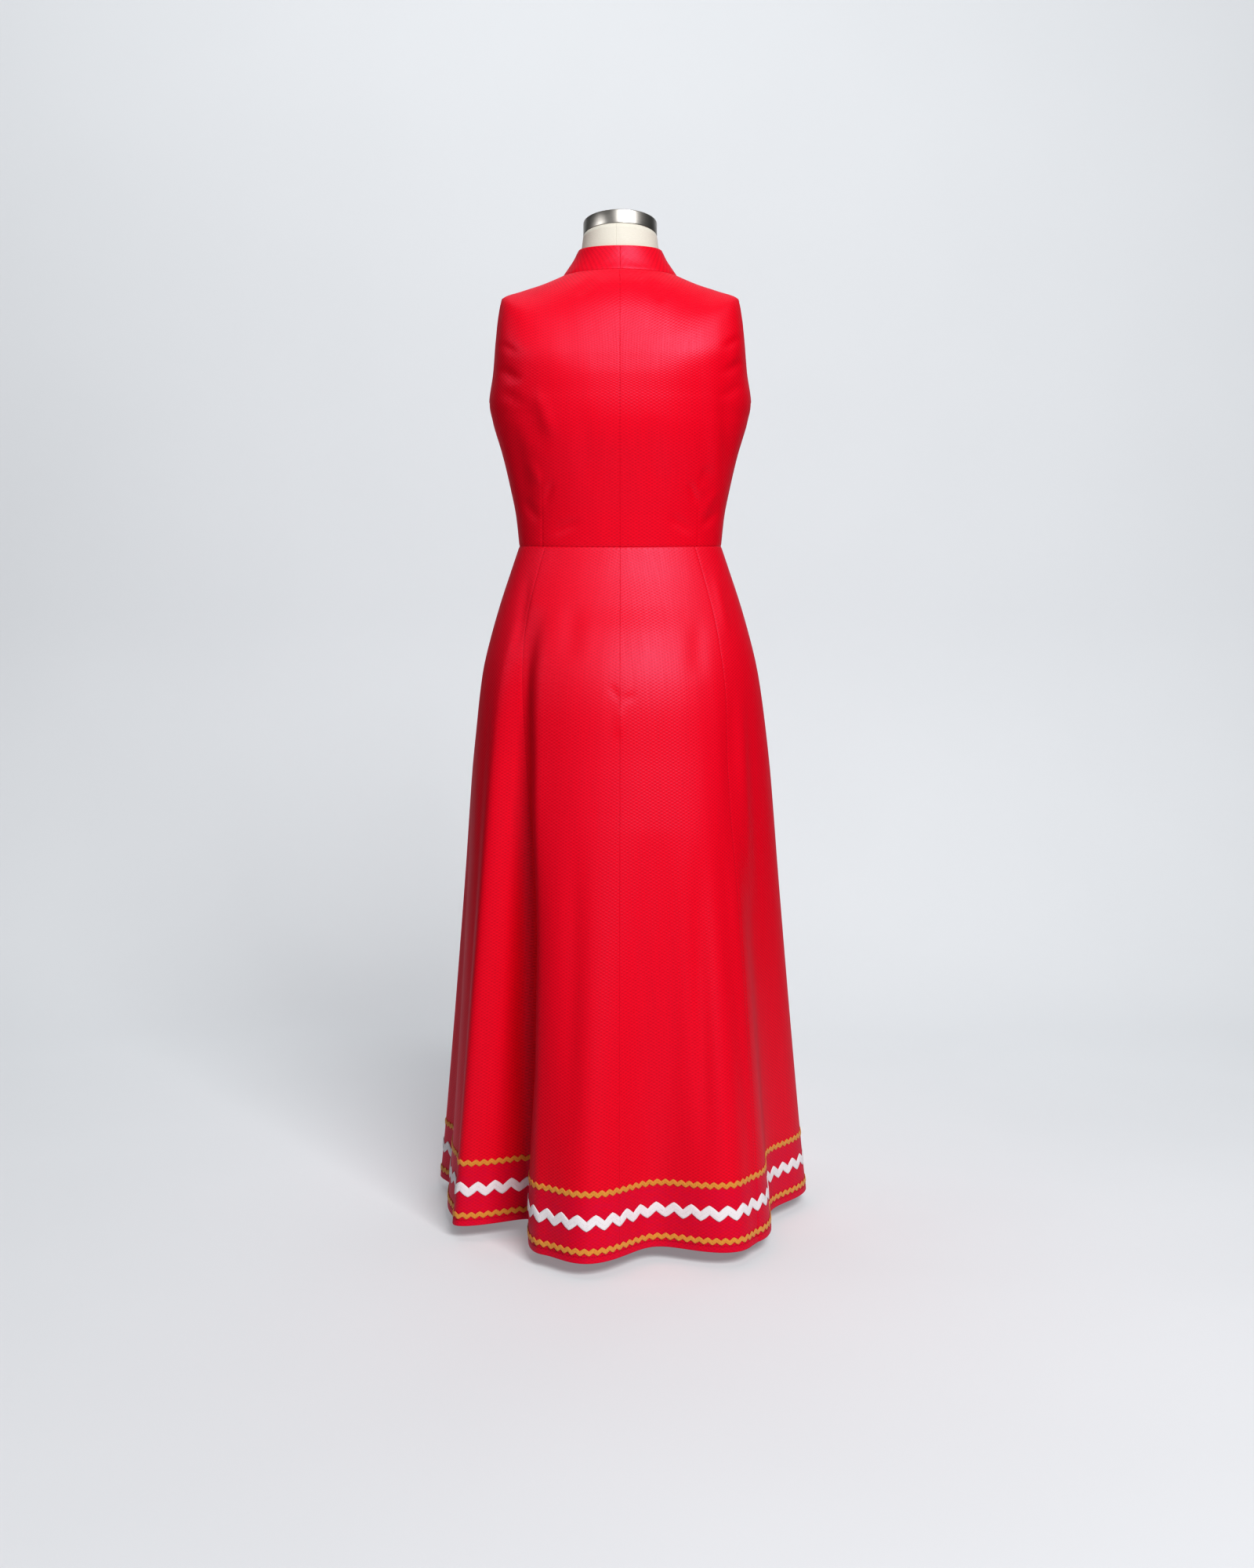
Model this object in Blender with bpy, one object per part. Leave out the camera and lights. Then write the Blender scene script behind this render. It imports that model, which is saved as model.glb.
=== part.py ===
"""A sleeveless folk dress with a stand collar, worn by a limbless dress form on a low stand.

The back of the dress faces -Y, its front faces +Y, +Z is up, and the origin is the centre
of the stand's underside. Sizes are in metres.
"""

import math

import bmesh
import bpy
import numpy as np
from mathutils import Matrix, Vector

# Cloth and sewing.
CLOTH = 0.0012
COLLAR_CLOTH = 0.0020
SEAM_GAP = 0.0003
HEM_Z = 0.020

# How a ring's height passes from its side to its centre back or front: the power of the
# sine of the angle from the side.
SIDE_DIP_POWER = 1.6

# Where the pieces are cut, in degrees round a ring from the side, and how the armhole
# opens from its foot at the underarm to its top at the shoulder's tip.
SHOULDER_SEAM_ANGLE = -9.0
ARMHOLE_BACK_CUT = 5.0
ARMHOLE_FRONT_CUT = 32.0
ARMHOLE_FULLNESS = 2.49
ARMHOLE_FOOT = 0.5
ARMHOLE_TOP = 0.9
ARMHOLE_ROWS = 7
BUST_APART = 0.160
BUST_Z = 1.130
BUST_RISE = 0.014
BUST_SPREAD = 0.045
BUST_BLEND = 0.050

# The dress form and its stand.
CAP_RADIUS = 0.0527
CAP_HEIGHT = 0.020
CAP_TILT = math.radians(9.4)
CAP_CENTRE = (0.0, 0.0025, 1.4288)
CAP_EDGE = 0.0012
POLE_RADIUS = 0.0125
BASE_RADIUS = 0.150
BASE_THICK = 0.008
HUB_RADIUS = 0.026
HUB_TOP = 0.034
HUB_FILLET = 0.004
BASE_EDGE = 0.0015
FORM_BOTTOM_Z = 0.655

# The rings of the cloth's outer side above the waist, from the waist seam to the neck seam.
# A ring's height differs at the side, the centre back and the centre front.
# ease is the form's distance inside the cloth, at the side and at the back and front.
# Columns: side_z, back_z, front_z, half_width, back_y, front_y, square, side_ease, ease.
# square is 2 for an ellipse, and more for a squarer ring.
BODICE_RINGS = {
    "waist seam":   (0.9710, 0.9660, 0.9720, 0.1464, -0.0940, 0.1080, 2.10, 0.0016, 0.0016),
    "lower ribs":   (1.0130, 1.0100, 1.0110, 0.1508, -0.0990, 0.1120, 2.10, 0.0022, 0.0022),
    "ribs":         (1.0580, 1.0560, 1.0520, 0.1596, -0.1070, 0.1190, 2.15, 0.0030, 0.0026),
    "under bust":   (1.1030, 1.1020, 1.0920, 0.1701, -0.1140, 0.1260, 2.20, 0.0045, 0.0028),
    "bust":         (1.1470, 1.1460, 1.1330, 0.1829, -0.1190, 0.1300, 2.25, 0.0085, 0.0028),
    "underarm":     (1.1730, 1.1730, 1.1620, 0.1875, -0.1210, 0.1290, 2.38, 0.0110, 0.0028),
    "low armhole":  (1.2150, 1.2000, 1.1790, 0.1812, -0.1220, 0.1260, 2.80, 0.0080, 0.0028),
    "mid armhole":  (1.2580, 1.2250, 1.1930, 0.1772, -0.1200, 0.1220, 3.20, 0.0065, 0.0028),
    "high armhole": (1.2950, 1.2450, 1.2050, 0.1736, -0.1165, 0.1170, 2.95, 0.0060, 0.0026),
    "shoulder tip": (1.3210, 1.2640, 1.2170, 0.1680, -0.1120, 0.1110, 2.60, 0.0040, 0.0024),
    "shoulder":     (1.3320, 1.2960, 1.2440, 0.1405, -0.1030, 0.0990, 2.25, 0.0030, 0.0022),
    "inner shoulder": (1.3405, 1.3260, 1.2690, 0.1125, -0.0890, 0.0840, 2.10, 0.0026, 0.0020),
    "neck seam":    (1.3520, 1.3515, 1.2900, 0.0830, -0.0700, 0.0660, 2.00, 0.0020, 0.0020),
}
UNDERARM_ROW = 5
TIP_ROW = 9
NECK_ROW = 12

# The collar's outer side, from the neck seam to its top edge. This table and the form's
# have the first seven of those columns.
COLLAR_RINGS = {
    "neck seam": (1.3520, 1.3515, 1.2900, 0.0830, -0.0700, 0.0660, 2.00),
    "roll":      (1.3640, 1.3620, 1.3010, 0.0745, -0.0665, 0.0640, 2.00),
    "middle":    (1.3755, 1.3730, 1.3120, 0.0668, -0.0640, 0.0625, 2.00),
    "top edge":  (1.3890, 1.3850, 1.3240, 0.0600, -0.0618, 0.0612, 2.00),
}

# The form's own rings: its neck above the shoulders, and its hips below the waist.
FORM_NECK_RINGS = {
    "neck root": (1.3490, 1.3490, 1.2880, 0.0775, -0.0650, 0.0605, 2.00),
    "low neck":  (1.3640, 1.3620, 1.3030, 0.0640, -0.0605, 0.0575, 2.00),
    "neck":      (1.3860, 1.3900, 1.3450, 0.0564, -0.0570, 0.0545, 2.00),
}
FORM_HIP_RINGS = {
    "bottom":    (0.6550, 0.6550, 0.6550, 0.1520, -0.1020, 0.0960, 2.10),
    "bottom edge": (0.6620, 0.6620, 0.6620, 0.1610, -0.1110, 0.1030, 2.10),
    "thighs":    (0.7050, 0.7050, 0.7050, 0.1700, -0.1240, 0.1100, 2.10),
    "hips":      (0.7600, 0.7600, 0.7600, 0.1740, -0.1330, 0.1150, 2.10),
    "seat":      (0.8100, 0.8100, 0.8100, 0.1735, -0.1300, 0.1150, 2.10),
    "upper hips": (0.8600, 0.8600, 0.8600, 0.1690, -0.1190, 0.1130, 2.10),
    "under waist": (0.9200, 0.9180, 0.9200, 0.1550, -0.0990, 0.1070, 2.10),
}

# The skirt's outer side without its folds. An eighth column, gore, is the width of a
# centre back gore.
SKIRT_RINGS = {
    "waist seam": (0.9710, 0.9660, 0.9720, 0.1464, -0.0940, 0.1080, 2.10, 0.1110),
    "yoke":       (0.9337, 0.9310, 0.9340, 0.1592, -0.1040, 0.1130, 2.10, 0.1220),
    "high hip":   (0.8883, 0.8870, 0.8880, 0.1743, -0.1210, 0.1200, 2.10, 0.1350),
    "hip":        (0.8428, 0.8428, 0.8428, 0.1872, -0.1400, 0.1270, 2.08, 0.1450),
    "seat":       (0.7971, 0.7971, 0.7971, 0.1979, -0.1550, 0.1350, 2.05, 0.1520),
    "low seat":   (0.7512, 0.7512, 0.7512, 0.2057, -0.1670, 0.1430, 2.02, 0.1580),
    "thigh":      (0.6590, 0.6590, 0.6590, 0.2179, -0.1870, 0.1610, 2.00, 0.1670),
    "knee":       (0.4728, 0.4728, 0.4728, 0.2333, -0.2230, 0.2030, 2.00, 0.1840),
    "calf":       (0.2840, 0.2840, 0.2840, 0.2495, -0.2620, 0.2480, 2.00, 0.2020),
    "ankle":      (0.0926, 0.0926, 0.0926, 0.2670, -0.3020, 0.2930, 2.00, 0.2200),
    "hem":        (HEM_Z, HEM_Z, HEM_Z, 0.2745, -0.3180, 0.3100, 2.00, 0.2270),
}
SKIRT_ROW_HEIGHTS = (
    0.971, 0.940, 0.900, 0.855, 0.805, 0.745, 0.680, 0.605, 0.520,
    0.430, 0.330, 0.225, 0.118, HEM_Z,
)

# The crests and hollows of the hanging folds, round the hem from the right side.
# Angles are in degrees from +X, with -90 the centre back. out is how far the cloth stands
# outside (+) or inside (-) the plain skirt at the hem, and start_z is where the fold begins.
# growth is the power with which it deepens on its way down.
# Columns: hem_angle, start_angle, start_z, out, growth.
FOLDS = {
    "right side crest":       (-3.0, -3.0, 0.80, 0.003, 1.1),
    "right hollow":           (-28.5, -31.0, 0.84, -0.036, 1.1),
    "back right crest, edge": (-51.5, -45.5, 0.84, 0.008, 1.1),
    "back right crest":       (-59.0, -55.0, 0.84, 0.017, 1.1),
    "back hollow":            (-80.0, -77.0, 0.56, -0.047, 1.1),
    "back left crest":        (-99.0, -101.0, 0.60, 0.011, 1.1),
    "back left crest, edge":  (-109.5, -130.0, 0.88, -0.004, 0.9),
    "left hollow":            (-129.5, -141.0, 0.88, -0.098, 0.9),
    "left crest":             (-143.0, -152.0, 0.86, 0.004, 1.0),
    "left crest, edge":       (-149.0, -160.0, 0.86, -0.008, 1.0),
    "left side hollow":       (-178.0, -174.0, 0.80, -0.021, 1.1),
    "front left side crest":  (-190.0, -186.0, 0.80, 0.004, 1.1),
    "front left hollow":      (-211.0, -207.0, 0.82, -0.056, 1.1),
    "front left crest":       (-232.0, -229.0, 0.80, 0.010, 1.1),
    "front hollow, left":     (-251.0, -249.0, 0.62, -0.048, 1.1),
    "front crest":            (-271.0, -270.0, 0.62, 0.004, 1.1),
    "front hollow, right":    (-291.0, -291.0, 0.66, -0.052, 1.1),
    "front right crest":      (-310.0, -311.0, 0.82, 0.010, 1.1),
    "front right hollow":     (-331.0, -331.0, 0.82, -0.054, 1.1),
}

# Columns of cloth in each piece, across its width.
BACK_COLUMNS = 9
FRONT_COLUMNS = 22
GORE_COLUMNS = 12
SIDE_GORE_COLUMNS = 16
SKIRT_FRONT_COLUMNS = 36
FORM_COLUMNS = 28
TURNED_SEGMENTS = 32

# The braids on the hem: distance of the middle above the hem along the cloth, whole height,
# braid width measured up the cloth, thickness, and the sections that make up one wave.
# A section is one BRAID_STEP long, or a little more or less, to end at the cloth's own bends.
# Columns: above_hem, height, width, thick, sections.
BRAIDS = {
    "ricrac_gold_lower": (0.0160, 0.0088, 0.0048, 0.0010, 2),
    "ricrac_white":      (0.0520, 0.0250, 0.0114, 0.0012, 4),
    "ricrac_gold_upper": (0.0880, 0.0088, 0.0048, 0.0010, 2),
}
BRAID_STEP = 0.0064
BRAID_CLEARANCE = 0.0008

# How finely a ring is drawn before its columns are read from it, and the part of a row
# that a surface's direction is measured over.
RING_POINTS = 1440
ROW_STEP = 0.02
SHARP_EDGE = math.radians(40)

SATIN = ("red satin", (0.80, 0.004, 0.022), 0.38, 0.0)
WHITE_BRAID = ("white braid", (0.86, 0.80, 0.82), 0.75, 0.0)
GOLD_BRAID = ("gold braid", (0.75, 0.36, 0.08), 0.55, 0.0)
LINEN = ("cream linen", (0.80, 0.77, 0.70), 0.85, 0.0)
STEEL = ("brushed steel", (0.55, 0.53, 0.50), 0.30, 1.0)


def clear_scene():
    for obj in list(bpy.data.objects):
        bpy.data.objects.remove(obj)


def material(owner, finish):
    name, colour, roughness, metallic = finish
    made = bpy.data.materials.new(f"{name} {owner}")
    made.use_nodes = True
    shader = made.node_tree.nodes["Principled BSDF"]
    shader.inputs["Base Color"].default_value = (*colour, 1.0)
    shader.inputs["Roughness"].default_value = roughness
    shader.inputs["Metallic"].default_value = metallic
    return made


def smooth_through(at, knots, values):
    """Values between the knots on a smooth curve that never swings past them."""
    knots = np.asarray(knots, float)
    values = np.asarray(values, float)
    step = np.diff(knots)
    slope = np.diff(values) / step
    tangent = np.zeros_like(values)
    inner = slope[:-1] * slope[1:]
    weight_a = 2 * step[1:] + step[:-1]
    weight_b = step[1:] + 2 * step[:-1]
    safe = inner > 0
    blend = weight_a[safe] / slope[:-1][safe] + weight_b[safe] / slope[1:][safe]
    tangent[1:-1][safe] = (weight_a + weight_b)[safe] / blend
    tangent[0] = slope[0]
    tangent[-1] = slope[-1]
    place = np.clip(np.searchsorted(knots, at) - 1, 0, len(step) - 1)
    share = (at - knots[place]) / step[place]
    rest = 1 - share
    return (
        values[place] * (1 + 2 * share) * rest**2
        + tangent[place] * step[place] * share * rest**2
        + values[place + 1] * (3 - 2 * share) * share**2
        - tangent[place + 1] * step[place] * rest * share**2
    )


def table_row(rings, row):
    """One row of a table of rings, at a whole or a part row number."""
    table = np.array(list(rings.values()))
    knots = np.arange(len(table))
    return [smooth_through(row, knots, column) for column in table.T]


def ring_angles():
    """Angles round a ring, from the centre back by the right side, the front and the left."""
    return np.radians(-90.0 + 360.0 * np.arange(RING_POINTS + 1) / RING_POINTS)


def plain_ring(side_z, back_z, front_z, half_width, back_y, front_y, square):
    angle = ring_angles()
    cosine, sine = np.cos(angle), np.sin(angle)
    power = 2.0 / square
    x = half_width * np.sign(cosine) * np.abs(cosine) ** power
    reach = np.where(sine < 0, -back_y, front_y)
    y = reach * np.sign(sine) * np.abs(sine) ** power
    middle_z = np.where(sine < 0, back_z, front_z)
    z = side_z + (middle_z - side_z) * np.abs(sine) ** SIDE_DIP_POWER
    return np.stack([x, y, z], 1)


def with_bust(points):
    """The soft fullness that the front's darts give, either side of the centre front."""
    across = np.abs(points[:, 0]) - BUST_APART / 2
    up = points[:, 2] - BUST_Z
    rise = BUST_RISE * np.exp(-(across**2 + up**2) / (2 * BUST_SPREAD**2))
    front = np.clip(points[:, 1] / BUST_BLEND, 0, 1)
    moved = points.copy()
    moved[:, 1] += rise * front
    return moved


def bodice_ring(row):
    return with_bust(plain_ring(*table_row(BODICE_RINGS, row)[:7]))


def collar_ring(row):
    return plain_ring(*table_row(COLLAR_RINGS, row))


def fold_offset(angle_deg, z):
    """How far the folds carry the cloth out at these angles, in degrees, at height z."""
    table = np.array(list(FOLDS.values()))
    hem_angle, start_angle, start_z, out, growth = table.T
    fallen = np.clip((start_z - z) / (start_z - HEM_Z), 0, 1)
    places = start_angle + (hem_angle - start_angle) * fallen
    heights = out * fallen**growth
    order = np.argsort(places)
    places, heights = places[order], heights[order]
    places = np.concatenate([places - 360, places, places + 360])
    heights = np.tile(heights, 3)
    spot = np.searchsorted(places, angle_deg) - 1
    share = (angle_deg - places[spot]) / (places[spot + 1] - places[spot])
    eased = (1 - np.cos(math.pi * share)) / 2
    return heights[spot] + (heights[spot + 1] - heights[spot]) * eased


def skirt_row_of(z):
    """The row number in the skirt's table at a side height."""
    heights = np.array([ring[0] for ring in SKIRT_RINGS.values()])
    return float(np.interp(-z, -heights, np.arange(len(heights))))


def skirt_ring(row):
    values = table_row(SKIRT_RINGS, row)
    points = plain_ring(*values[:7])
    angle = np.degrees(np.arctan2(points[:, 1], points[:, 0]))
    angle = np.where(angle > 0, angle - 360, angle)
    radius = np.hypot(points[:, 0], points[:, 1])
    scale = 1 + fold_offset(angle, values[0]) / radius
    points[:, :2] *= scale[:, None]
    return points


def ring_with_normals(ring, row, last_row):
    """A ring's points and the outward directions of the surface there."""
    points = ring(row)
    above = ring(min(row + ROW_STEP, last_row))
    below = ring(max(row - ROW_STEP, 0))
    along = np.gradient(points, axis=0)
    along[0] = along[-1] = points[1] - points[-2]
    normals = np.cross(along, above - below)
    normals /= np.linalg.norm(normals, axis=1)[:, None]
    outward = normals[:, :2] * points[:, :2]
    if outward.sum() < 0:
        normals = -normals
    return points, normals


def arc_lengths(points):
    steps = np.linalg.norm(np.diff(points, axis=0), axis=1)
    return np.concatenate([[0.0], np.cumsum(steps)])


def sampled(points, normals, lengths):
    """Points and normals at these distances round a ring from the centre back."""
    along = arc_lengths(points)
    place = [np.interp(lengths, along, points[:, k]) for k in range(3)]
    facing = np.stack([np.interp(lengths, along, normals[:, k]) for k in range(3)], 1)
    facing /= np.linalg.norm(facing, axis=1)[:, None]
    return np.stack(place, 1), facing


def length_at_angle(points, angle_deg):
    """The distance round a ring from the centre back to a drawing angle."""
    share = (angle_deg + 90.0) / 360.0 * RING_POINTS
    return float(np.interp(share, np.arange(RING_POINTS + 1), arc_lengths(points)))


def pulled_back(grid, first_row, last_row, first_column, last_column):
    """The grid with the named edges drawn in by half a seam gap."""
    grid = grid.copy()

    def draw_in(edge, inner):
        step = inner - edge
        size = np.linalg.norm(step, axis=1)[:, None]
        return edge + step / size * (SEAM_GAP / 2)

    if first_row:
        grid[0] = draw_in(grid[0], grid[1])
    if last_row:
        grid[-1] = draw_in(grid[-1], grid[-2])
    if first_column:
        grid[:, 0] = draw_in(grid[:, 0], grid[:, 1])
    if last_column:
        grid[:, -1] = draw_in(grid[:, -1], grid[:, -2])
    return grid


def add_object(name, vertices, faces, finish):
    """A closed solid whose faces point outwards, shaded smooth between its sharp edges."""
    mesh = bpy.data.meshes.new(name)
    mesh.from_pydata([tuple(v) for v in vertices], [], faces)
    built = bmesh.new()
    built.from_mesh(mesh)
    bmesh.ops.recalc_face_normals(built, faces=built.faces)
    if built.calc_volume(signed=True) < 0:
        bmesh.ops.reverse_faces(built, faces=built.faces)
    built.to_mesh(mesh)
    built.free()
    mesh.materials.append(material(name, finish))
    mesh.shade_smooth()
    mesh.set_sharp_from_angle(angle=SHARP_EDGE)
    obj = bpy.data.objects.new(name, mesh)
    bpy.context.scene.collection.objects.link(obj)
    return obj


def cloth_wall(name, outer, normals, thickness, finish):
    """A closed wall of cloth: the outer grid, the inner grid and the four cut edges."""
    inner = outer - normals * thickness
    rows, columns = outer.shape[:2]
    vertices = np.concatenate([outer.reshape(-1, 3), inner.reshape(-1, 3)])
    count = rows * columns

    def at(row, column, side):
        return side * count + row * columns + column

    faces = []
    for r in range(rows - 1):
        for c in range(columns - 1):
            low_left, low_right = (r + 1, c), (r + 1, c + 1)
            for third, fourth in (((r, c + 1), low_right), (low_right, low_left)):
                faces.append([at(r, c, 0), at(*third, 0), at(*fourth, 0)])
                faces.append([at(*fourth, 1), at(*third, 1), at(r, c, 1)])
    border = [(0, c) for c in range(columns)]
    border += [(r, columns - 1) for r in range(1, rows)]
    border += [(rows - 1, c) for c in range(columns - 2, -1, -1)]
    border += [(r, 0) for r in range(rows - 2, 0, -1)]
    for here, there in zip(border, border[1:] + border[:1]):
        faces.append([at(*there, 0), at(*here, 0), at(*here, 1), at(*there, 1)])
    return add_object(name, vertices, faces, finish)


def mirrored(points):
    flipped = points.copy()
    flipped[..., 0] *= -1
    return flipped


def bodice_rows():
    """Row numbers from the waist to the neck, close together round the armhole's ends."""
    armhole = [
        UNDERARM_ROW + (TIP_ROW - UNDERARM_ROW) * (1 - math.cos(math.pi * k / ARMHOLE_ROWS)) / 2
        for k in range(1, ARMHOLE_ROWS + 1)
    ]
    shoulder = [9.5, 10, 10.5, 11]
    return [0, 1, 2, 3, 4, UNDERARM_ROW, *armhole, *shoulder, NECK_ROW]


def bodice_edge_angles(row):
    """Drawing angles of the back's and the front's edge on the right: seam or armhole."""
    if row <= UNDERARM_ROW:
        return 0.0, 0.0
    if row >= TIP_ROW:
        return SHOULDER_SEAM_ANGLE, SHOULDER_SEAM_ANGLE
    share = (row - UNDERARM_ROW) / (TIP_ROW - UNDERARM_ROW)
    middle = SHOULDER_SEAM_ANGLE * share
    open_by = ARMHOLE_FULLNESS * share**ARMHOLE_FOOT * (1 - share) ** ARMHOLE_TOP
    return middle - ARMHOLE_BACK_CUT * open_by, middle + ARMHOLE_FRONT_CUT * open_by


def bodice_lengths(points, back_edge, front_edge):
    """Distances of the right back's and the front's columns round a ring."""
    to_back_edge = length_at_angle(points, back_edge)
    to_front_edge = length_at_angle(points, front_edge)
    to_left_edge = length_at_angle(points, 180.0 - front_edge)
    across_back = np.linspace(0, to_back_edge, BACK_COLUMNS + 1)
    across_front = np.linspace(to_front_edge, to_left_edge, FRONT_COLUMNS + 1)
    return across_back, across_front


def make_bodice():
    back, back_normals, front, front_normals = [], [], [], []
    for row in bodice_rows():
        points, normals = ring_with_normals(bodice_ring, row, NECK_ROW)
        across_back, across_front = bodice_lengths(points, *bodice_edge_angles(row))
        place, facing = sampled(points, normals, across_back)
        back.append(place)
        back_normals.append(facing)
        place, facing = sampled(points, normals, across_front)
        front.append(place)
        front_normals.append(facing)
    back, front = np.array(back), np.array(front)
    back_normals, front_normals = np.array(back_normals), np.array(front_normals)
    back = pulled_back(back, True, True, True, True)
    front = pulled_back(front, True, True, True, True)
    cloth_wall("bodice_back_right", back, back_normals, CLOTH, SATIN)
    cloth_wall("bodice_back_left", mirrored(back), mirrored(back_normals), CLOTH, SATIN)
    cloth_wall("bodice_front", front, front_normals, CLOTH, SATIN)


def make_collar():
    grid, facing_grid = [], []
    last = len(COLLAR_RINGS) - 1
    for row in range(last + 1):
        points, normals = ring_with_normals(collar_ring, row, last)
        seam = SHOULDER_SEAM_ANGLE
        across_back, across_front = bodice_lengths(points, seam, seam)
        across_left = arc_lengths(points)[-1] - across_back[::-1]
        around = np.concatenate([across_back, across_front[1:], across_left[1:]])
        place, facing = sampled(points, normals, around)
        grid.append(place)
        facing_grid.append(facing)
    grid = pulled_back(np.array(grid), True, False, True, True)
    cloth_wall("collar", grid, np.array(facing_grid), COLLAR_CLOTH, SATIN)


def skirt_columns(points, gore):
    """Distances round the skirt of every column, and where each seam falls among them."""
    total = arc_lengths(points)[-1]
    to_front = length_at_angle(points, 90.0)
    right_side = to_front / 2
    left_side = total - (total - to_front) / 2
    stops = [0, gore, right_side, left_side, total - gore, total]
    counts = [GORE_COLUMNS, SIDE_GORE_COLUMNS, SKIRT_FRONT_COLUMNS, SIDE_GORE_COLUMNS, GORE_COLUMNS]
    lengths = [np.array([0.0])]
    seams = [0]
    for start, end, count in zip(stops, stops[1:], counts):
        lengths.append(np.linspace(start, end, count + 1)[1:])
        seams.append(seams[-1] + count)
    return np.concatenate(lengths), seams


def skirt_grid():
    grid, facing_grid = [], []
    last = len(SKIRT_RINGS) - 1
    seams = []
    for z in SKIRT_ROW_HEIGHTS:
        row = skirt_row_of(z)
        points, normals = ring_with_normals(skirt_ring, row, last)
        gore = table_row(SKIRT_RINGS, row)[7]
        lengths, seams = skirt_columns(points, gore)
        place, facing = sampled(points, normals, lengths)
        grid.append(place)
        facing_grid.append(facing)
    return np.array(grid), np.array(facing_grid), seams


def make_skirt(grid, normals, seams):
    names = [
        "skirt_back_centre_right",
        "skirt_back_side_right",
        "skirt_front",
        "skirt_back_side_left",
        "skirt_back_centre_left",
    ]
    for name, start, end in zip(names, seams, seams[1:]):
        piece = pulled_back(grid[:, start : end + 1], True, False, True, True)
        cloth_wall(name, piece, normals[:, start : end + 1], CLOTH, SATIN)


def on_hem(grid, normals, column, above_hem):
    """A point of the skirt's triangles and its normal, by column and distance above the hem."""
    left = min(int(column), grid.shape[1] - 2)
    across = column - left

    def mixed(values):
        top_left, top_right = values[-2, left], values[-2, left + 1]
        low_left, low_right = values[-1, left], values[-1, left + 1]
        if across + up < 1:
            return low_left + (low_right - low_left) * across + (top_left - low_left) * up
        return top_right + (top_left - top_right) * (1 - across) + (low_right - top_right) * (1 - up)

    up = above_hem / np.linalg.norm(grid[-2, left] - grid[-1, left])
    facing = mixed(normals)
    return mixed(grid), facing / np.linalg.norm(facing)


def braid_stops(grid):
    """Column numbers round the hem where the braids' sections meet, one on every column."""
    widths = np.linalg.norm(np.diff(grid[-1], axis=0), axis=1)
    stops = []
    for column, width in enumerate(widths):
        sections = max(1, round(width / BRAID_STEP))
        stops += [column + k / sections for k in range(sections)]
    return stops


def wave(share):
    """Height of the braid's middle at a share of a wave, from -1 to 1."""
    return 1 - 4 * abs(share - 0.5)


def make_braid(name, grid, normals, above_hem, height, width, thick, sections):
    stops = braid_stops(grid)
    spare = len(stops) % sections
    swing = (height - width) / 2
    rings = []
    for k, column in enumerate(stops):
        share = k % sections / sections if k < len(stops) - spare else 0.0
        middle = above_hem + swing * wave(share)
        corners = []
        for edge in (-1, 1):
            point, facing = on_hem(grid, normals, column, middle + edge * width / 2)
            corners.append(point + facing * BRAID_CLEARANCE)
            corners.append(point + facing * (BRAID_CLEARANCE + thick))
        low_in, low_out, high_in, high_out = corners
        if sections == 2:
            ridge = (low_out + high_out) / 2
            rings.append([low_in, ridge, high_in])
        else:
            rings.append([low_in, low_out, high_out, high_in])
    rings = np.array(rings + rings[:1])
    faces = ring_faces(*rings.shape[:2])
    count = len(stops) * rings.shape[1]
    faces = [[corner % count for corner in face] for face in faces]
    finish = WHITE_BRAID if name == "ricrac_white" else GOLD_BRAID
    add_object(name, rings[:-1].reshape(-1, 3), faces, finish)


def cap_frame():
    """The neck cap's place: its axis leans forward, and its top face is at height 0."""
    return Matrix.Translation(CAP_CENTRE) @ Matrix.Rotation(-CAP_TILT, 4, "X")


def ring_under_cap(radius, below):
    """A circle of the neck, square to the cap's axis, this far below the cap."""
    frame = cap_frame()
    height = -CAP_HEIGHT - below
    return np.array(
        [frame @ Vector((radius * math.cos(a), radius * math.sin(a), height)) for a in ring_angles()]
    )


def form_torso_rings():
    """The form's rings from its flat bottom to under the neck cap."""
    rings = []
    for values in FORM_HIP_RINGS.values():
        rings.append(plain_ring(*values))
    for row in bodice_rows()[:-1]:
        points, normals = ring_with_normals(bodice_ring, row, NECK_ROW)
        side_ease, ease = table_row(BODICE_RINGS, row)[7:]
        sine = np.abs(np.sin(ring_angles()))
        inset = CLOTH + side_ease + (ease - side_ease) * sine
        rings.append(points - normals * inset[:, None])
    for values in FORM_NECK_RINGS.values():
        rings.append(plain_ring(*values))
    rings.append(ring_under_cap(CAP_RADIUS, SEAM_GAP))
    sampled_rings = []
    for points in rings:
        along = arc_lengths(points)
        lengths = np.linspace(0, along[-1], FORM_COLUMNS + 1)[:-1]
        place = [np.interp(lengths, along, points[:, k]) for k in range(3)]
        sampled_rings.append(np.stack(place, 1))
    return np.array(sampled_rings)


def ring_faces(rows, count):
    """The faces of a tube of rings, each with the same count of points."""
    faces = []
    for r in range(rows - 1):
        for c in range(count):
            beside = (c + 1) % count
            low, high = r * count, (r + 1) * count
            faces.append([low + c, low + beside, high + beside, high + c])
    return faces


def closed_tube(name, rings, finish):
    """A solid through rings of points, with a flat face at each end."""
    rows, count = rings.shape[:2]
    faces = ring_faces(rows, count)
    faces.append(list(range(count)))
    faces.append([(rows - 1) * count + c for c in range(count)])
    return add_object(name, rings.reshape(-1, 3), faces, finish)


def turned(name, profile, finish):
    """A solid turned about +Z from (radius, height) points, from its foot to its top."""
    turns = 2 * math.pi * np.arange(TURNED_SEGMENTS) / TURNED_SEGMENTS
    rings = []
    for radius, height in profile:
        level = np.full(TURNED_SEGMENTS, height)
        rings.append(np.stack([radius * np.cos(turns), radius * np.sin(turns), level], 1))
    return closed_tube(name, np.array(rings), finish)


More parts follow.
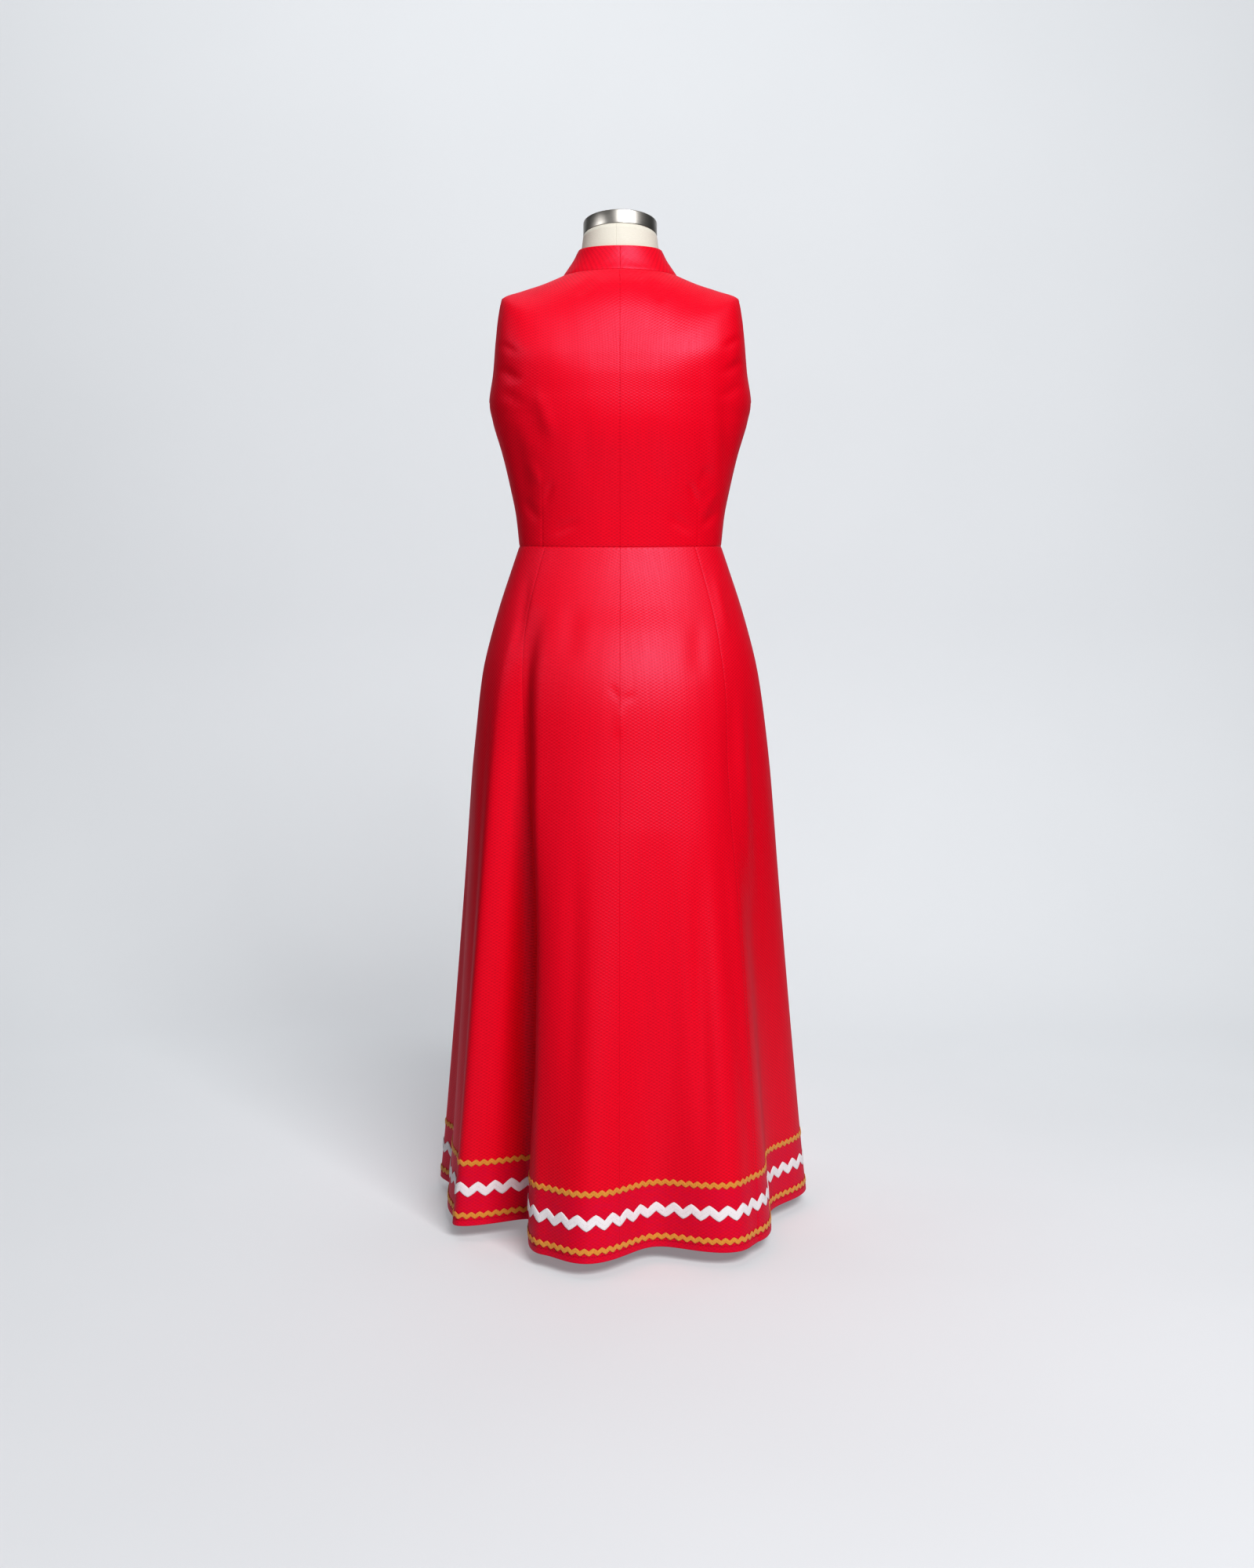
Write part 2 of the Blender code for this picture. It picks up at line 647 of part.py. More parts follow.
def make_form_torso():
    closed_tube("form_torso", form_torso_rings(), LINEN)


def make_neck_cap():
    profile = [
        (CAP_RADIUS - CAP_EDGE, 0.0),
        (CAP_RADIUS, CAP_EDGE),
        (CAP_RADIUS, CAP_HEIGHT - CAP_EDGE),
        (CAP_RADIUS - CAP_EDGE, CAP_HEIGHT),
    ]
    cap = turned("form_neck_cap", profile, STEEL)
    cap.data.transform(cap_frame() @ Matrix.Translation((0, 0, -CAP_HEIGHT)))


def make_stand():
    pole_foot = HUB_TOP + SEAM_GAP
    pole_top = FORM_BOTTOM_Z - SEAM_GAP
    turned("form_pole", [(POLE_RADIUS, pole_foot), (POLE_RADIUS, pole_top)], STEEL)
    profile = [
        (BASE_RADIUS - BASE_EDGE, 0.0),
        (BASE_RADIUS, BASE_EDGE),
        (BASE_RADIUS, BASE_THICK - BASE_EDGE),
        (BASE_RADIUS - BASE_EDGE, BASE_THICK),
        (HUB_RADIUS + HUB_FILLET, BASE_THICK),
        (HUB_RADIUS, BASE_THICK + HUB_FILLET),
        (HUB_RADIUS, HUB_TOP - BASE_EDGE),
        (HUB_RADIUS - BASE_EDGE, HUB_TOP),
    ]
    turned("form_base", profile, STEEL)


def main():
    clear_scene()
    make_bodice()
    make_collar()
    grid, normals, seams = skirt_grid()
    make_skirt(grid, normals, seams)
    for name, sizes in BRAIDS.items():
        make_braid(name, grid, normals, *sizes)
    make_form_torso()
    make_neck_cap()
    make_stand()


main()
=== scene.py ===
"""Looks for a sleeveless folk dress with a stand collar, worn by a limbless dress form.

The back of the dress faces -Y, its front faces +Y, and +Z is up. Sizes are in metres.
"""

import functools
import math

import bpy
import numpy as np
from mathutils import Matrix, Vector

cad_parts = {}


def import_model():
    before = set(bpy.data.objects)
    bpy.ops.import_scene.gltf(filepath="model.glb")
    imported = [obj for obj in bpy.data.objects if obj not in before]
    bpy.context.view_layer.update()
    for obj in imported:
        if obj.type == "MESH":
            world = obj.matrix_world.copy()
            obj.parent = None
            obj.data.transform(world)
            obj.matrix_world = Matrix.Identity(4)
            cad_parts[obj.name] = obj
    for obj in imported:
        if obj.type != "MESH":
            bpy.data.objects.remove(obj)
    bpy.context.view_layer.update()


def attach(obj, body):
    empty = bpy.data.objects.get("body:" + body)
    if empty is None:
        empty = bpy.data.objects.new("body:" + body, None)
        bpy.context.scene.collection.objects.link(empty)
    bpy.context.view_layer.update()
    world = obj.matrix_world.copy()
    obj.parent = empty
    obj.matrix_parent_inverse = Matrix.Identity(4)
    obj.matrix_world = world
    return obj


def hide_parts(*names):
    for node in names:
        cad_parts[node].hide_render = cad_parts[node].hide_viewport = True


# Cloth and sewing.
CLOTH = 0.0010
COLLAR_CLOTH = 0.0018
SEAM_GAP = 0.0003
SEAM_SHOWN = 0.00004
HEM_Z = 0.020
HEM_TURN = 0.0092
HEM_TURN_THICK = 0.0004
HEM_TURN_SOFT = 0.001
SIDE_DIP_POWER = 1.6

# Where the pieces are cut, and how the armhole opens from its foot to its top.
SHOULDER_SEAM_ANGLE = -9.0
ARMHOLE_BACK_CUT = 5.0
ARMHOLE_FRONT_CUT = 32.0
ARMHOLE_FULLNESS = 2.49
ARMHOLE_FOOT = 0.5
ARMHOLE_TOP = 0.9
BUST_APART = 0.160
BUST_Z = 1.130
BUST_RISE = 0.014
BUST_SPREAD = 0.045
BUST_BLEND = 0.050

# The waist darts: their distance from the centre, where each ends, how their depth fades,
# and how far at least each one stays from its piece's edge.
BACK_DART_X = 0.1105
BACK_DART_TOP_Z = 1.062
FRONT_DART_X = 0.082
FRONT_DART_TOP_Z = 1.085
SKIRT_DART_TOP_Z = 0.968
SKIRT_DART_FOOT_Z = 0.885
WAIST_Z = 0.97
DART_FADE = 0.7
DART_CLEAR = 0.030

# The dress form and its stand. The linen's threads are spaced out by the neck's girth.
CAP_RADIUS = 0.0527
CAP_HEIGHT = 0.020
CAP_TILT = math.radians(9.4)
CAP_CENTRE = (0.0, 0.0025, 1.4288)
CAP_EDGE = 0.0012
POLE_RADIUS = 0.0125
POLE_EDGE = 0.0006
POLE_PLAY = 0.001
BASE_RADIUS = 0.150
BASE_THICK = 0.008
HUB_RADIUS = 0.026
HUB_TOP = 0.034
BASE_EDGE = 0.0015
FORM_BOTTOM_Z = 0.655
FORM_SPARE = 0.0010
NECK_GIRTH = 0.34
END_DISC_RADIUS = 0.003
LINEN_SEAM_X = -0.0055
LINEN_SEAM_WIDTH = 0.0011

# The cloth's outer side from the waist seam to the neck seam.
# Columns: side_z, back_z, front_z, half_width, back_y, front_y, square, side_ease, ease.
BODICE_RINGS = {
    "waist seam":   (0.9710, 0.9660, 0.9720, 0.1464, -0.0940, 0.1080, 2.10, 0.0016, 0.0016),
    "lower ribs":   (1.0130, 1.0100, 1.0110, 0.1508, -0.0990, 0.1120, 2.10, 0.0022, 0.0022),
    "ribs":         (1.0580, 1.0560, 1.0520, 0.1596, -0.1070, 0.1190, 2.15, 0.0030, 0.0026),
    "under bust":   (1.1030, 1.1020, 1.0920, 0.1701, -0.1140, 0.1260, 2.20, 0.0045, 0.0028),
    "bust":         (1.1470, 1.1460, 1.1330, 0.1829, -0.1190, 0.1300, 2.25, 0.0085, 0.0028),
    "underarm":     (1.1730, 1.1730, 1.1620, 0.1875, -0.1210, 0.1290, 2.38, 0.0110, 0.0028),
    "low armhole":  (1.2150, 1.2000, 1.1790, 0.1812, -0.1220, 0.1260, 2.80, 0.0080, 0.0028),
    "mid armhole":  (1.2580, 1.2250, 1.1930, 0.1772, -0.1200, 0.1220, 3.20, 0.0065, 0.0028),
    "high armhole": (1.2950, 1.2450, 1.2050, 0.1736, -0.1165, 0.1170, 2.95, 0.0060, 0.0026),
    "shoulder tip": (1.3210, 1.2640, 1.2170, 0.1680, -0.1120, 0.1110, 2.60, 0.0040, 0.0024),
    "shoulder":     (1.3320, 1.2960, 1.2440, 0.1405, -0.1030, 0.0990, 2.25, 0.0030, 0.0022),
    "inner shoulder": (1.3405, 1.3260, 1.2690, 0.1125, -0.0890, 0.0840, 2.10, 0.0026, 0.0020),
    "neck seam":    (1.3520, 1.3515, 1.2900, 0.0830, -0.0700, 0.0660, 2.00, 0.0020, 0.0020),
}
UNDERARM_ROW = 5
TIP_ROW = 9
NECK_ROW = 12

# The collar's outer side, and the form's own rings. They have the first seven columns.
COLLAR_RINGS = {
    "neck seam": (1.3520, 1.3515, 1.2900, 0.0830, -0.0700, 0.0660, 2.00),
    "roll":      (1.3640, 1.3620, 1.3010, 0.0745, -0.0665, 0.0640, 2.00),
    "middle":    (1.3755, 1.3730, 1.3120, 0.0668, -0.0640, 0.0625, 2.00),
    "top edge":  (1.3890, 1.3850, 1.3240, 0.0600, -0.0618, 0.0612, 2.00),
}
FORM_NECK_RINGS = {
    "neck root": (1.3490, 1.3490, 1.2880, 0.0775, -0.0650, 0.0605, 2.00),
    "low neck":  (1.3640, 1.3620, 1.3030, 0.0640, -0.0605, 0.0575, 2.00),
    "neck":      (1.3860, 1.3900, 1.3450, 0.0564, -0.0570, 0.0545, 2.00),
}
FORM_HIP_RINGS = {
    "bottom":    (0.6550, 0.6550, 0.6550, 0.1520, -0.1020, 0.0960, 2.10),
    "bottom edge": (0.6620, 0.6620, 0.6620, 0.1610, -0.1110, 0.1030, 2.10),
    "thighs":    (0.7050, 0.7050, 0.7050, 0.1700, -0.1240, 0.1100, 2.10),
    "hips":      (0.7600, 0.7600, 0.7600, 0.1740, -0.1330, 0.1150, 2.10),
    "seat":      (0.8100, 0.8100, 0.8100, 0.1735, -0.1300, 0.1150, 2.10),
    "upper hips": (0.8600, 0.8600, 0.8600, 0.1690, -0.1190, 0.1130, 2.10),
    "under waist": (0.9200, 0.9180, 0.9200, 0.1550, -0.0990, 0.1070, 2.10),
}

# The skirt's outer side without its folds. The eighth column is a centre back gore's width.
SKIRT_RINGS = {
    "waist seam": (0.9710, 0.9660, 0.9720, 0.1464, -0.0940, 0.1080, 2.10, 0.1110),
    "yoke":       (0.9337, 0.9310, 0.9340, 0.1592, -0.1040, 0.1130, 2.10, 0.1220),
    "high hip":   (0.8883, 0.8870, 0.8880, 0.1743, -0.1210, 0.1200, 2.10, 0.1350),
    "hip":        (0.8428, 0.8428, 0.8428, 0.1872, -0.1400, 0.1270, 2.08, 0.1450),
    "seat":       (0.7971, 0.7971, 0.7971, 0.1979, -0.1550, 0.1350, 2.05, 0.1520),
    "low seat":   (0.7512, 0.7512, 0.7512, 0.2057, -0.1670, 0.1430, 2.02, 0.1580),
    "thigh":      (0.6590, 0.6590, 0.6590, 0.2179, -0.1870, 0.1610, 2.00, 0.1670),
    "knee":       (0.4728, 0.4728, 0.4728, 0.2333, -0.2230, 0.2030, 2.00, 0.1840),
    "calf":       (0.2840, 0.2840, 0.2840, 0.2495, -0.2620, 0.2480, 2.00, 0.2020),
    "ankle":      (0.0926, 0.0926, 0.0926, 0.2670, -0.3020, 0.2930, 2.00, 0.2200),
    "hem":        (HEM_Z, HEM_Z, HEM_Z, 0.2745, -0.3180, 0.3100, 2.00, 0.2270),
}

# The crests and hollows of the hanging folds, round the hem from the right side.
# Columns: hem_angle, start_angle, start_z, out, growth.
FOLDS = {
    "right side crest":       (-3.0, -3.0, 0.80, 0.003, 1.1),
    "right hollow":           (-28.5, -31.0, 0.84, -0.036, 1.1),
    "back right crest, edge": (-51.5, -45.5, 0.84, 0.008, 1.1),
    "back right crest":       (-59.0, -55.0, 0.84, 0.017, 1.1),
    "back hollow":            (-80.0, -77.0, 0.58, -0.051, 1.3),
    "back left crest":        (-99.0, -101.0, 0.60, 0.011, 1.1),
    "back left crest, edge":  (-109.5, -130.0, 0.88, -0.004, 0.9),
    "left hollow":            (-129.5, -141.0, 0.88, -0.098, 0.9),
    "left crest":             (-143.0, -152.0, 0.86, 0.004, 1.0),
    "left crest, edge":       (-149.0, -160.0, 0.86, -0.008, 1.0),
    "left side hollow":       (-178.0, -174.0, 0.80, -0.021, 1.1),
    "front left side crest":  (-190.0, -186.0, 0.80, 0.004, 1.1),
    "front left hollow":      (-211.0, -207.0, 0.82, -0.056, 1.1),
    "front left crest":       (-232.0, -229.0, 0.80, 0.010, 1.1),
    "front hollow, left":     (-251.0, -249.0, 0.62, -0.048, 1.1),
    "front crest":            (-271.0, -270.0, 0.62, 0.004, 1.1),
    "front hollow, right":    (-291.0, -291.0, 0.66, -0.052, 1.1),
    "front right crest":      (-310.0, -311.0, 0.82, 0.010, 1.1),
    "front right hollow":     (-331.0, -331.0, 0.82, -0.054, 1.1),
}

# Creases: soft ridges (+) and troughs (-) in the cloth, from a top point to a low point.
# width is half the crease's breadth. Sizes here are in millimetres.
# Columns: top_x, top_z, low_x, low_z, width, height.
BACK_CREASES = {
    "right armhole pull, high":   (172, 1262, 143, 1236, 5.0, -1.3),
    "right armhole pull, middle": (172, 1229, 141, 1199, 5.5, -1.7),
    "right armhole pull, low":    (172, 1197, 138, 1166, 5.0, -1.3),
    "right armhole lip":          (160, 1244, 149, 1190, 6.0, 0.9),
    "left armhole pull, high":    (-170, 1252, -140, 1228, 5.0, -1.2),
    "left armhole pull, middle":  (-170, 1218, -137, 1189, 6.0, -1.8),
    "left armhole pull, low":     (-166, 1187, -131, 1157, 5.5, -1.5),
    "right shoulder blade fold":  (118, 1235, 141, 1024, 9.0, 1.9),
    "right blade hollow":         (138, 1205, 158, 1060, 10.0, -1.6),
    "left blade hollow":          (-143, 1180, -98, 1090, 14.0, -1.4),
    "left blade fold":            (-118, 1190, -88, 1110, 9.0, 1.2),
    "left side fold":             (-150, 1150, -128, 1010, 11.0, -1.7),
    "right dart fan, outer":      (139, 1052, 113, 1008, 5.0, 1.4),
    "right dart fan, low":        (141, 1022, 112, 990, 5.0, -1.3),
    "right dart fan, inner":      (96, 1060, 110, 1022, 5.0, -1.2),
    "right dart fan, top":        (124, 1084, 112, 1046, 6.0, -1.1),
    "left dart fan, outer":       (-141, 1040, -113, 1000, 6.0, -1.4),
    "left dart fan, top":         (-128, 1092, -112, 1050, 6.0, 1.2),
    "left dart fan, inner":       (-92, 1062, -108, 1020, 5.5, -0.9),
    "small of the back, right":   (64, 1012, 108, 984, 8.0, -1.1),
    "small of the back, left":    (-50, 1004, -104, 984, 8.0, -1.1),
    "back fold, right of middle": (42, 1150, 52, 1020, 14.0, -1.0),
    "back fold, left of middle":  (-50, 1170, -40, 1030, 15.0, -1.0),
    "upper back swell":           (-240, 1134, 240, 1134, 54.0, 3.5),
    "seat swell":                 (-300, 772, 300, 772, 80.0, 4.2),
    "collar pull, right":         (40, 1340, 62, 1300, 8.0, -0.8),
    "collar pull, left":          (-36, 1342, -60, 1306, 8.0, -0.8),
    "zip end, left":              (-16, 776, 2, 752, 3.5, -0.6),
    "zip end, right":             (24, 762, 1, 752, 4.0, -0.5),
    "zip end, below":             (2, 752, -2, 700, 6.0, 0.6),
    "seat fold, right":           (110, 880, 104, 770, 14.0, -1.3),
    "seat fold, left":            (-62, 900, -70, 790, 14.0, -1.2),
    "right back ridge":           (164, 800, 184, 400, 10.0, 3.0),
    "right back trough":          (148, 780, 160, 450, 12.0, -2.0),
    "right back valley":          (106, 580, 118, 80, 15.0, -4.6),
    "middle ridge":               (46, 560, 52, 110, 15.0, 2.2),
    "left middle valley":         (-58, 620, -70, 100, 15.0, -2.4),
    "left valley's foot":         (-127, 640, -137, 50, 20.0, -7.2),
    "left yoke fold":             (-128, 945, -146, 800, 8.0, -1.6),
    "right yoke fold":            (132, 945, 152, 830, 8.0, 1.4),
}
FRONT_CREASES = {
    "right armhole pull":      (158, 1236, 124, 1206, 6.0, -1.6),
    "right armhole pull, low": (166, 1196, 128, 1172, 6.0, -1.4),
    "left armhole pull":       (-160, 1232, -126, 1200, 6.0, -1.5),
    "left armhole pull, low":  (-166, 1190, -130, 1164, 6.0, -1.4),
    "right bust dart":         (172, 1112, 104, 1128, 2.6, -1.5),
    "left bust dart":          (-172, 1112, -104, 1128, 2.6, -1.5),
    "right bust dart's swell": (168, 1126, 112, 1138, 8.0, 1.0),
    "left bust dart's swell":  (-168, 1126, -112, 1138, 8.0, 1.0),
    "fan, right":              (118, 1052, 90, 1004, 7.0, -1.4),
    "fan, left":               (-122, 1044, -92, 1000, 7.0, -1.4),
    "fan, right inner":        (52, 1070, 76, 1016, 8.0, -1.1),
    "fan, left inner":         (-48, 1062, -74, 1010, 8.0, -1.2),
    "hollow between, upper":   (4, 1210, -4, 1060, 20.0, -1.6),
    "throat fold, right":      (30, 1272, 70, 1224, 9.0, -1.1),
    "throat fold, left":       (-28, 1274, -66, 1222, 9.0, -1.1),
    "lap fold, right":         (100, 900, 118, 700, 13.0, -2.0),
    "lap fold, left":          (-94, 910, -108, 720, 13.0, -2.0),
    "knee ridge, right":       (60, 560, 72, 120, 15.0, 2.6),
    "knee ridge, left":        (-84, 600, -100, 100, 15.0, 2.8),
    "shin valley":             (4, 500, -6, 90, 18.0, -3.0),
}

# Seams: how far and how wide the cloth dips into a seam, how far its puckers reach, and how
# deep some are, where a plain seam is 1. ENDS are for a piece's first and last row.
SEAM_DIP = 0.0004
SEAM_DIP_WIDTH = 0.0018
PUCKER_REACH = 0.011
CENTRE_BACK_DEPTH = 0.10
BACK_DART_DEPTH = 1.6
ARMHOLE_DEPTH = 0.35
COLLAR_OPENING_DEPTH = 0.4
BODICE_ENDS = (1, 1)
COLLAR_ENDS = (1, 0.6)
SKIRT_ENDS = (1, 0.3)
ARMHOLE_TURN = 0.0090
ARMHOLE_TURN_THICK = 0.0007
ARMHOLE_TURN_SOFT = 0.0008

# How strong all creases are, the share that tapers at each end, and how far behind or before
# the side seams they reach their whole height.
CREASE_STRENGTH = 1.5
CREASE_TAPER = 0.4
CREASE_FACING = 0.03

# Cells of cloth: their distances from a seam, and then one every few millimetres.
NEAR_SEAM = (0.0, 0.0007, 0.0016, 0.0030, 0.0050)
BODICE_CELL = 0.0032
SKIRT_CELL = 0.0052
COLLAR_CELL = 0.0026
FORM_COLUMNS = 144
FORM_ROWS = 150
FORM_BODICE_RINGS = 24
TURNED_SEGMENTS = 128

# How many cells lie between a piece's edges and darts, from right to left.
BACK_CELLS = (34, 12)
FRONT_CELLS = (30, 46, 30)
COLLAR_CELLS = (150,)
SKIRT_PANELS = {
    "skirt_back_centre_right": (40,),
    "skirt_back_side_right": (48,),
    "skirt_front": (46, 70, 46),
    "skirt_back_side_left": (54,),
    "skirt_back_centre_left": (40,),
}

# The braids. waves is their count round the hem, and notch is how deep the notches reach.
# Columns: above_hem, height, notch, thick, waves, stations, slot.
BRAIDS = {
    "ricrac_gold_lower": (0.0145, 0.0102, 0.0036, 0.0010, 172, 16, "gold_braid"),
    "ricrac_white":      (0.0510, 0.0215, 0.0086, 0.0012, 80, 30, "white_braid"),
    "ricrac_gold_upper": (0.0878, 0.0102, 0.0036, 0.0010, 172, 16, "gold_braid"),
}
BRAID_ACROSS = (0.0, 0.06, 0.2, 0.4, 0.6, 0.8, 0.94, 1.0)
BRAID_UNDER = (0.85, 0.15)
# A braid's rounded top: how square it is, and how high its edges are beside its middle.
BRAID_CROWN = 7
BRAID_SIDE = 0.25
# How far the braids and stitches stand off the cloth, and on how much of the turned hem.
BRAID_LIFT = 0.00015
BRAID_ON_TURN = 0.4
HEM_STITCH_LIFT = 0.0001
HEM_STITCH_ABOVE = 0.0082
# The mottled band above the hem, and how softly it ends.
HEM_BAND = 0.088
HEM_BAND_SOFT = 0.002

# Rows of stitches, by the inputs of the tree that lays them.
STITCH_INPUTS = ("Stitch pitch", "Stitch length", "Thread thickness")
BRAID_STITCH = (0.0034, 0.0026, 0.00044)
HEM_STITCH = (0.0036, 0.0027, 0.00048)

# Where three of the satin's noises show, by the meshes' own attributes.
SATIN_NEAR = {"across puckers": "seam_up", "up puckers": "seam_across", "mottle": "hem_band"}

# Points on a ring, the one on whose line rows are spaced, and steps between rows.
RING_POINTS = 1440
ROW_LINE = RING_POINTS // 8
ROW_STEP = 0.02
ROW_SEARCH = 40

# The studio's paper, and the camera.
PAPER_FRONT_Y = -6.0
PAPER_WALL_Y = 1.95
PAPER_TOP_Z = 7.0
PAPER_REACH = 1.78
PAPER_RADIUS = 0.9
PAPER_STEPS = 24
CAMERA_PLACE = (0.0098, -2.5, 0.854)
CAMERA_PITCH = math.radians(84.75)
CAMERA_LENS = 39.15


def smooth_through(at, knots, values):
    """Values between the knots on a smooth curve that never swings past them."""
    knots = np.asarray(knots, float)
    values = np.asarray(values, float)
    step = np.diff(knots)
    slope = np.diff(values) / step
    tangent = np.zeros_like(values)
    inner = slope[:-1] * slope[1:]
    weight_a = 2 * step[1:] + step[:-1]
    weight_b = step[1:] + 2 * step[:-1]
    safe = inner > 0
    blend = weight_a[safe] / slope[:-1][safe] + weight_b[safe] / slope[1:][safe]
    tangent[1:-1][safe] = (weight_a + weight_b)[safe] / blend
    tangent[0] = slope[0]
    tangent[-1] = slope[-1]
    place = np.clip(np.searchsorted(knots, at) - 1, 0, len(step) - 1)
    share = (at - knots[place]) / step[place]
    rest = 1 - share
    return (
        values[place] * (1 + 2 * share) * rest**2
        + tangent[place] * step[place] * share * rest**2
        + values[place + 1] * (3 - 2 * share) * share**2
        - tangent[place + 1] * step[place] * rest * share**2
    )


def table_row(rings, row):
    """One row of a table of rings, at a whole or a part row number."""
    table = np.array(list(rings.values()))
    knots = np.arange(len(table))
    return [smooth_through(row, knots, column) for column in table.T]


def ring_angles():
    """Angles round a ring, from the centre back by the right side, the front and the left."""
    return np.radians(-90.0 + 360.0 * np.arange(RING_POINTS + 1) / RING_POINTS)


def plain_ring(side_z, back_z, front_z, half_width, back_y, front_y, square):
    angle = ring_angles()
    cosine, sine = np.cos(angle), np.sin(angle)
    power = 2.0 / square
    x = half_width * np.sign(cosine) * np.abs(cosine) ** power
    reach = np.where(sine < 0, -back_y, front_y)
    y = reach * np.sign(sine) * np.abs(sine) ** power
    middle_z = np.where(sine < 0, back_z, front_z)
    z = side_z + (middle_z - side_z) * np.abs(sine) ** SIDE_DIP_POWER
    return np.stack([x, y, z], 1)


def with_bust(points):
    across = np.abs(points[:, 0]) - BUST_APART / 2
    up = points[:, 2] - BUST_Z
    rise = BUST_RISE * np.exp(-(across**2 + up**2) / (2 * BUST_SPREAD**2))
    front = np.clip(points[:, 1] / BUST_BLEND, 0, 1)
    moved = points.copy()
    moved[:, 1] += rise * front
    return moved


def bodice_ring(row):
    return with_bust(plain_ring(*table_row(BODICE_RINGS, row)[:7]))


def collar_ring(row):
    return plain_ring(*table_row(COLLAR_RINGS, row))


def fold_offset(angle_deg, z):
    """How far the folds carry the cloth out at these angles, in degrees, at height z."""
    table = np.array(list(FOLDS.values()))
    hem_angle, start_angle, start_z, out, growth = table.T
    fallen = np.clip((start_z - z) / (start_z - HEM_Z), 0, 1)
    places = start_angle + (hem_angle - start_angle) * fallen
    heights = out * fallen**growth
    order = np.argsort(places)
    places, heights = places[order], heights[order]
    places = np.concatenate([places - 360, places, places + 360])
    heights = np.tile(heights, 3)
    spot = np.searchsorted(places, angle_deg) - 1
    share = (angle_deg - places[spot]) / (places[spot + 1] - places[spot])
    eased = (1 - np.cos(math.pi * share)) / 2
    return heights[spot] + (heights[spot + 1] - heights[spot]) * eased


def skirt_ring(row):
    values = table_row(SKIRT_RINGS, row)
    points = plain_ring(*values[:7])
    angle = np.degrees(np.arctan2(points[:, 1], points[:, 0]))
    angle = np.where(angle > 0, angle - 360, angle)
    radius = np.hypot(points[:, 0], points[:, 1])
    scale = 1 + fold_offset(angle, values[0]) / radius
    points[:, :2] *= scale[:, None]
    return points


@functools.cache
def ring_with_normals(ring, row, last_row):
    """A ring's points and the outward directions of the surface there."""
    points = ring(row)
    above = ring(min(row + ROW_STEP, last_row))
    below = ring(max(row - ROW_STEP, 0))
    along = np.gradient(points, axis=0)
    along[0] = along[-1] = points[1] - points[-2]
    normals = np.cross(along, above - below)
    normals /= np.linalg.norm(normals, axis=1)[:, None]
    if (normals[:, :2] * points[:, :2]).sum() < 0:
        normals = -normals
    return points, normals


def arc_lengths(points):
    steps = np.linalg.norm(np.diff(points, axis=0), axis=1)
    return np.concatenate([[0.0], np.cumsum(steps)])


def resampled(values, along, wanted):
    """Rows of three values at the wanted distances, from rows at the distances along."""
    return np.stack([np.interp(wanted, along, values[:, k]) for k in range(3)], 1)


def sampled(points, normals, lengths):
    """Points and normals at these distances round a ring from the centre back."""
    along = arc_lengths(points)
    facing = resampled(normals, along, lengths)
    facing /= np.linalg.norm(facing, axis=1)[:, None]
    return resampled(points, along, lengths), facing


def length_at_angle(points, angle_deg):
    """The distance round a ring from the centre back to a drawing angle."""
    share = (angle_deg + 90.0) / 360.0 * RING_POINTS
    return float(np.interp(share, np.arange(RING_POINTS + 1), arc_lengths(points)))


def bodice_edge_angles(row):
    """Drawing angles of the back's and the front's edge on the right: seam or armhole."""
    if row <= UNDERARM_ROW:
        return 0.0, 0.0
    if row >= TIP_ROW:
        return SHOULDER_SEAM_ANGLE, SHOULDER_SEAM_ANGLE
    share = (row - UNDERARM_ROW) / (TIP_ROW - UNDERARM_ROW)
    middle = SHOULDER_SEAM_ANGLE * share
    open_by = ARMHOLE_FULLNESS * share**ARMHOLE_FOOT * (1 - share) ** ARMHOLE_TOP
    return middle - ARMHOLE_BACK_CUT * open_by, middle + ARMHOLE_FRONT_CUT * open_by


def stops_between(seams, counts):
    """Distances across a piece: close together beside each seam, and even between."""
    near = np.array(NEAR_SEAM)
    parts = []
    for start, end, count in zip(seams, seams[1:], counts):
        width = end - start
        even = np.linspace(near[-1], width - near[-1], count + 1)
        stops = np.concatenate([near[:-1], even, width - near[-2::-1]])
        parts.append(start + stops[:-1])
    parts.append([seams[-1]])
    return np.concatenate(parts)


def rows_between(ring, last_row, cell):
    """Row numbers a cell of cloth apart, and how far up or down the cloth each one is."""
    fine = np.linspace(0, last_row, ROW_SEARCH * last_row + 1)
    run = arc_lengths(np.array([ring(row)[ROW_LINE] for row in fine]))
    stops = stops_between([0.0, run[-1]], [round(run[-1] / cell)])
    return np.interp(stops, run, fine), stops


def crease_relief(points):
    """How far the creases carry these points out from the smooth cloth."""
    x, y, z = points[..., 0], points[..., 1], points[..., 2]
    relief = np.zeros(x.shape)
    for side, creases in ((-1, BACK_CREASES), (1, FRONT_CREASES)):
        facing = np.clip(side * y / CREASE_FACING, 0, 1)
        for crease in creases.values():
            top_x, top_z, low_x, low_z, width, height = (size / 1000 for size in crease)
            along_x, along_z = low_x - top_x, low_z - top_z
            size = math.hypot(along_x, along_z)
            share = ((x - top_x) * along_x + (z - top_z) * along_z) / size**2
            off = ((x - top_x) * along_z - (z - top_z) * along_x) / size
            ends = np.clip(np.minimum(share, 1 - share) / CREASE_TAPER, 0, 1)
            ends = ends**2 * (3 - 2 * ends)
            relief += height * np.exp(-((off / width) ** 2)) * ends * facing
    return relief * CREASE_STRENGTH


def dip(distance):
    return np.exp(-((distance / SEAM_DIP_WIDTH) ** 2))


def add_object(name, data):
    obj = bpy.data.objects.new(name, data)
    bpy.context.scene.collection.objects.link(obj)
    return obj


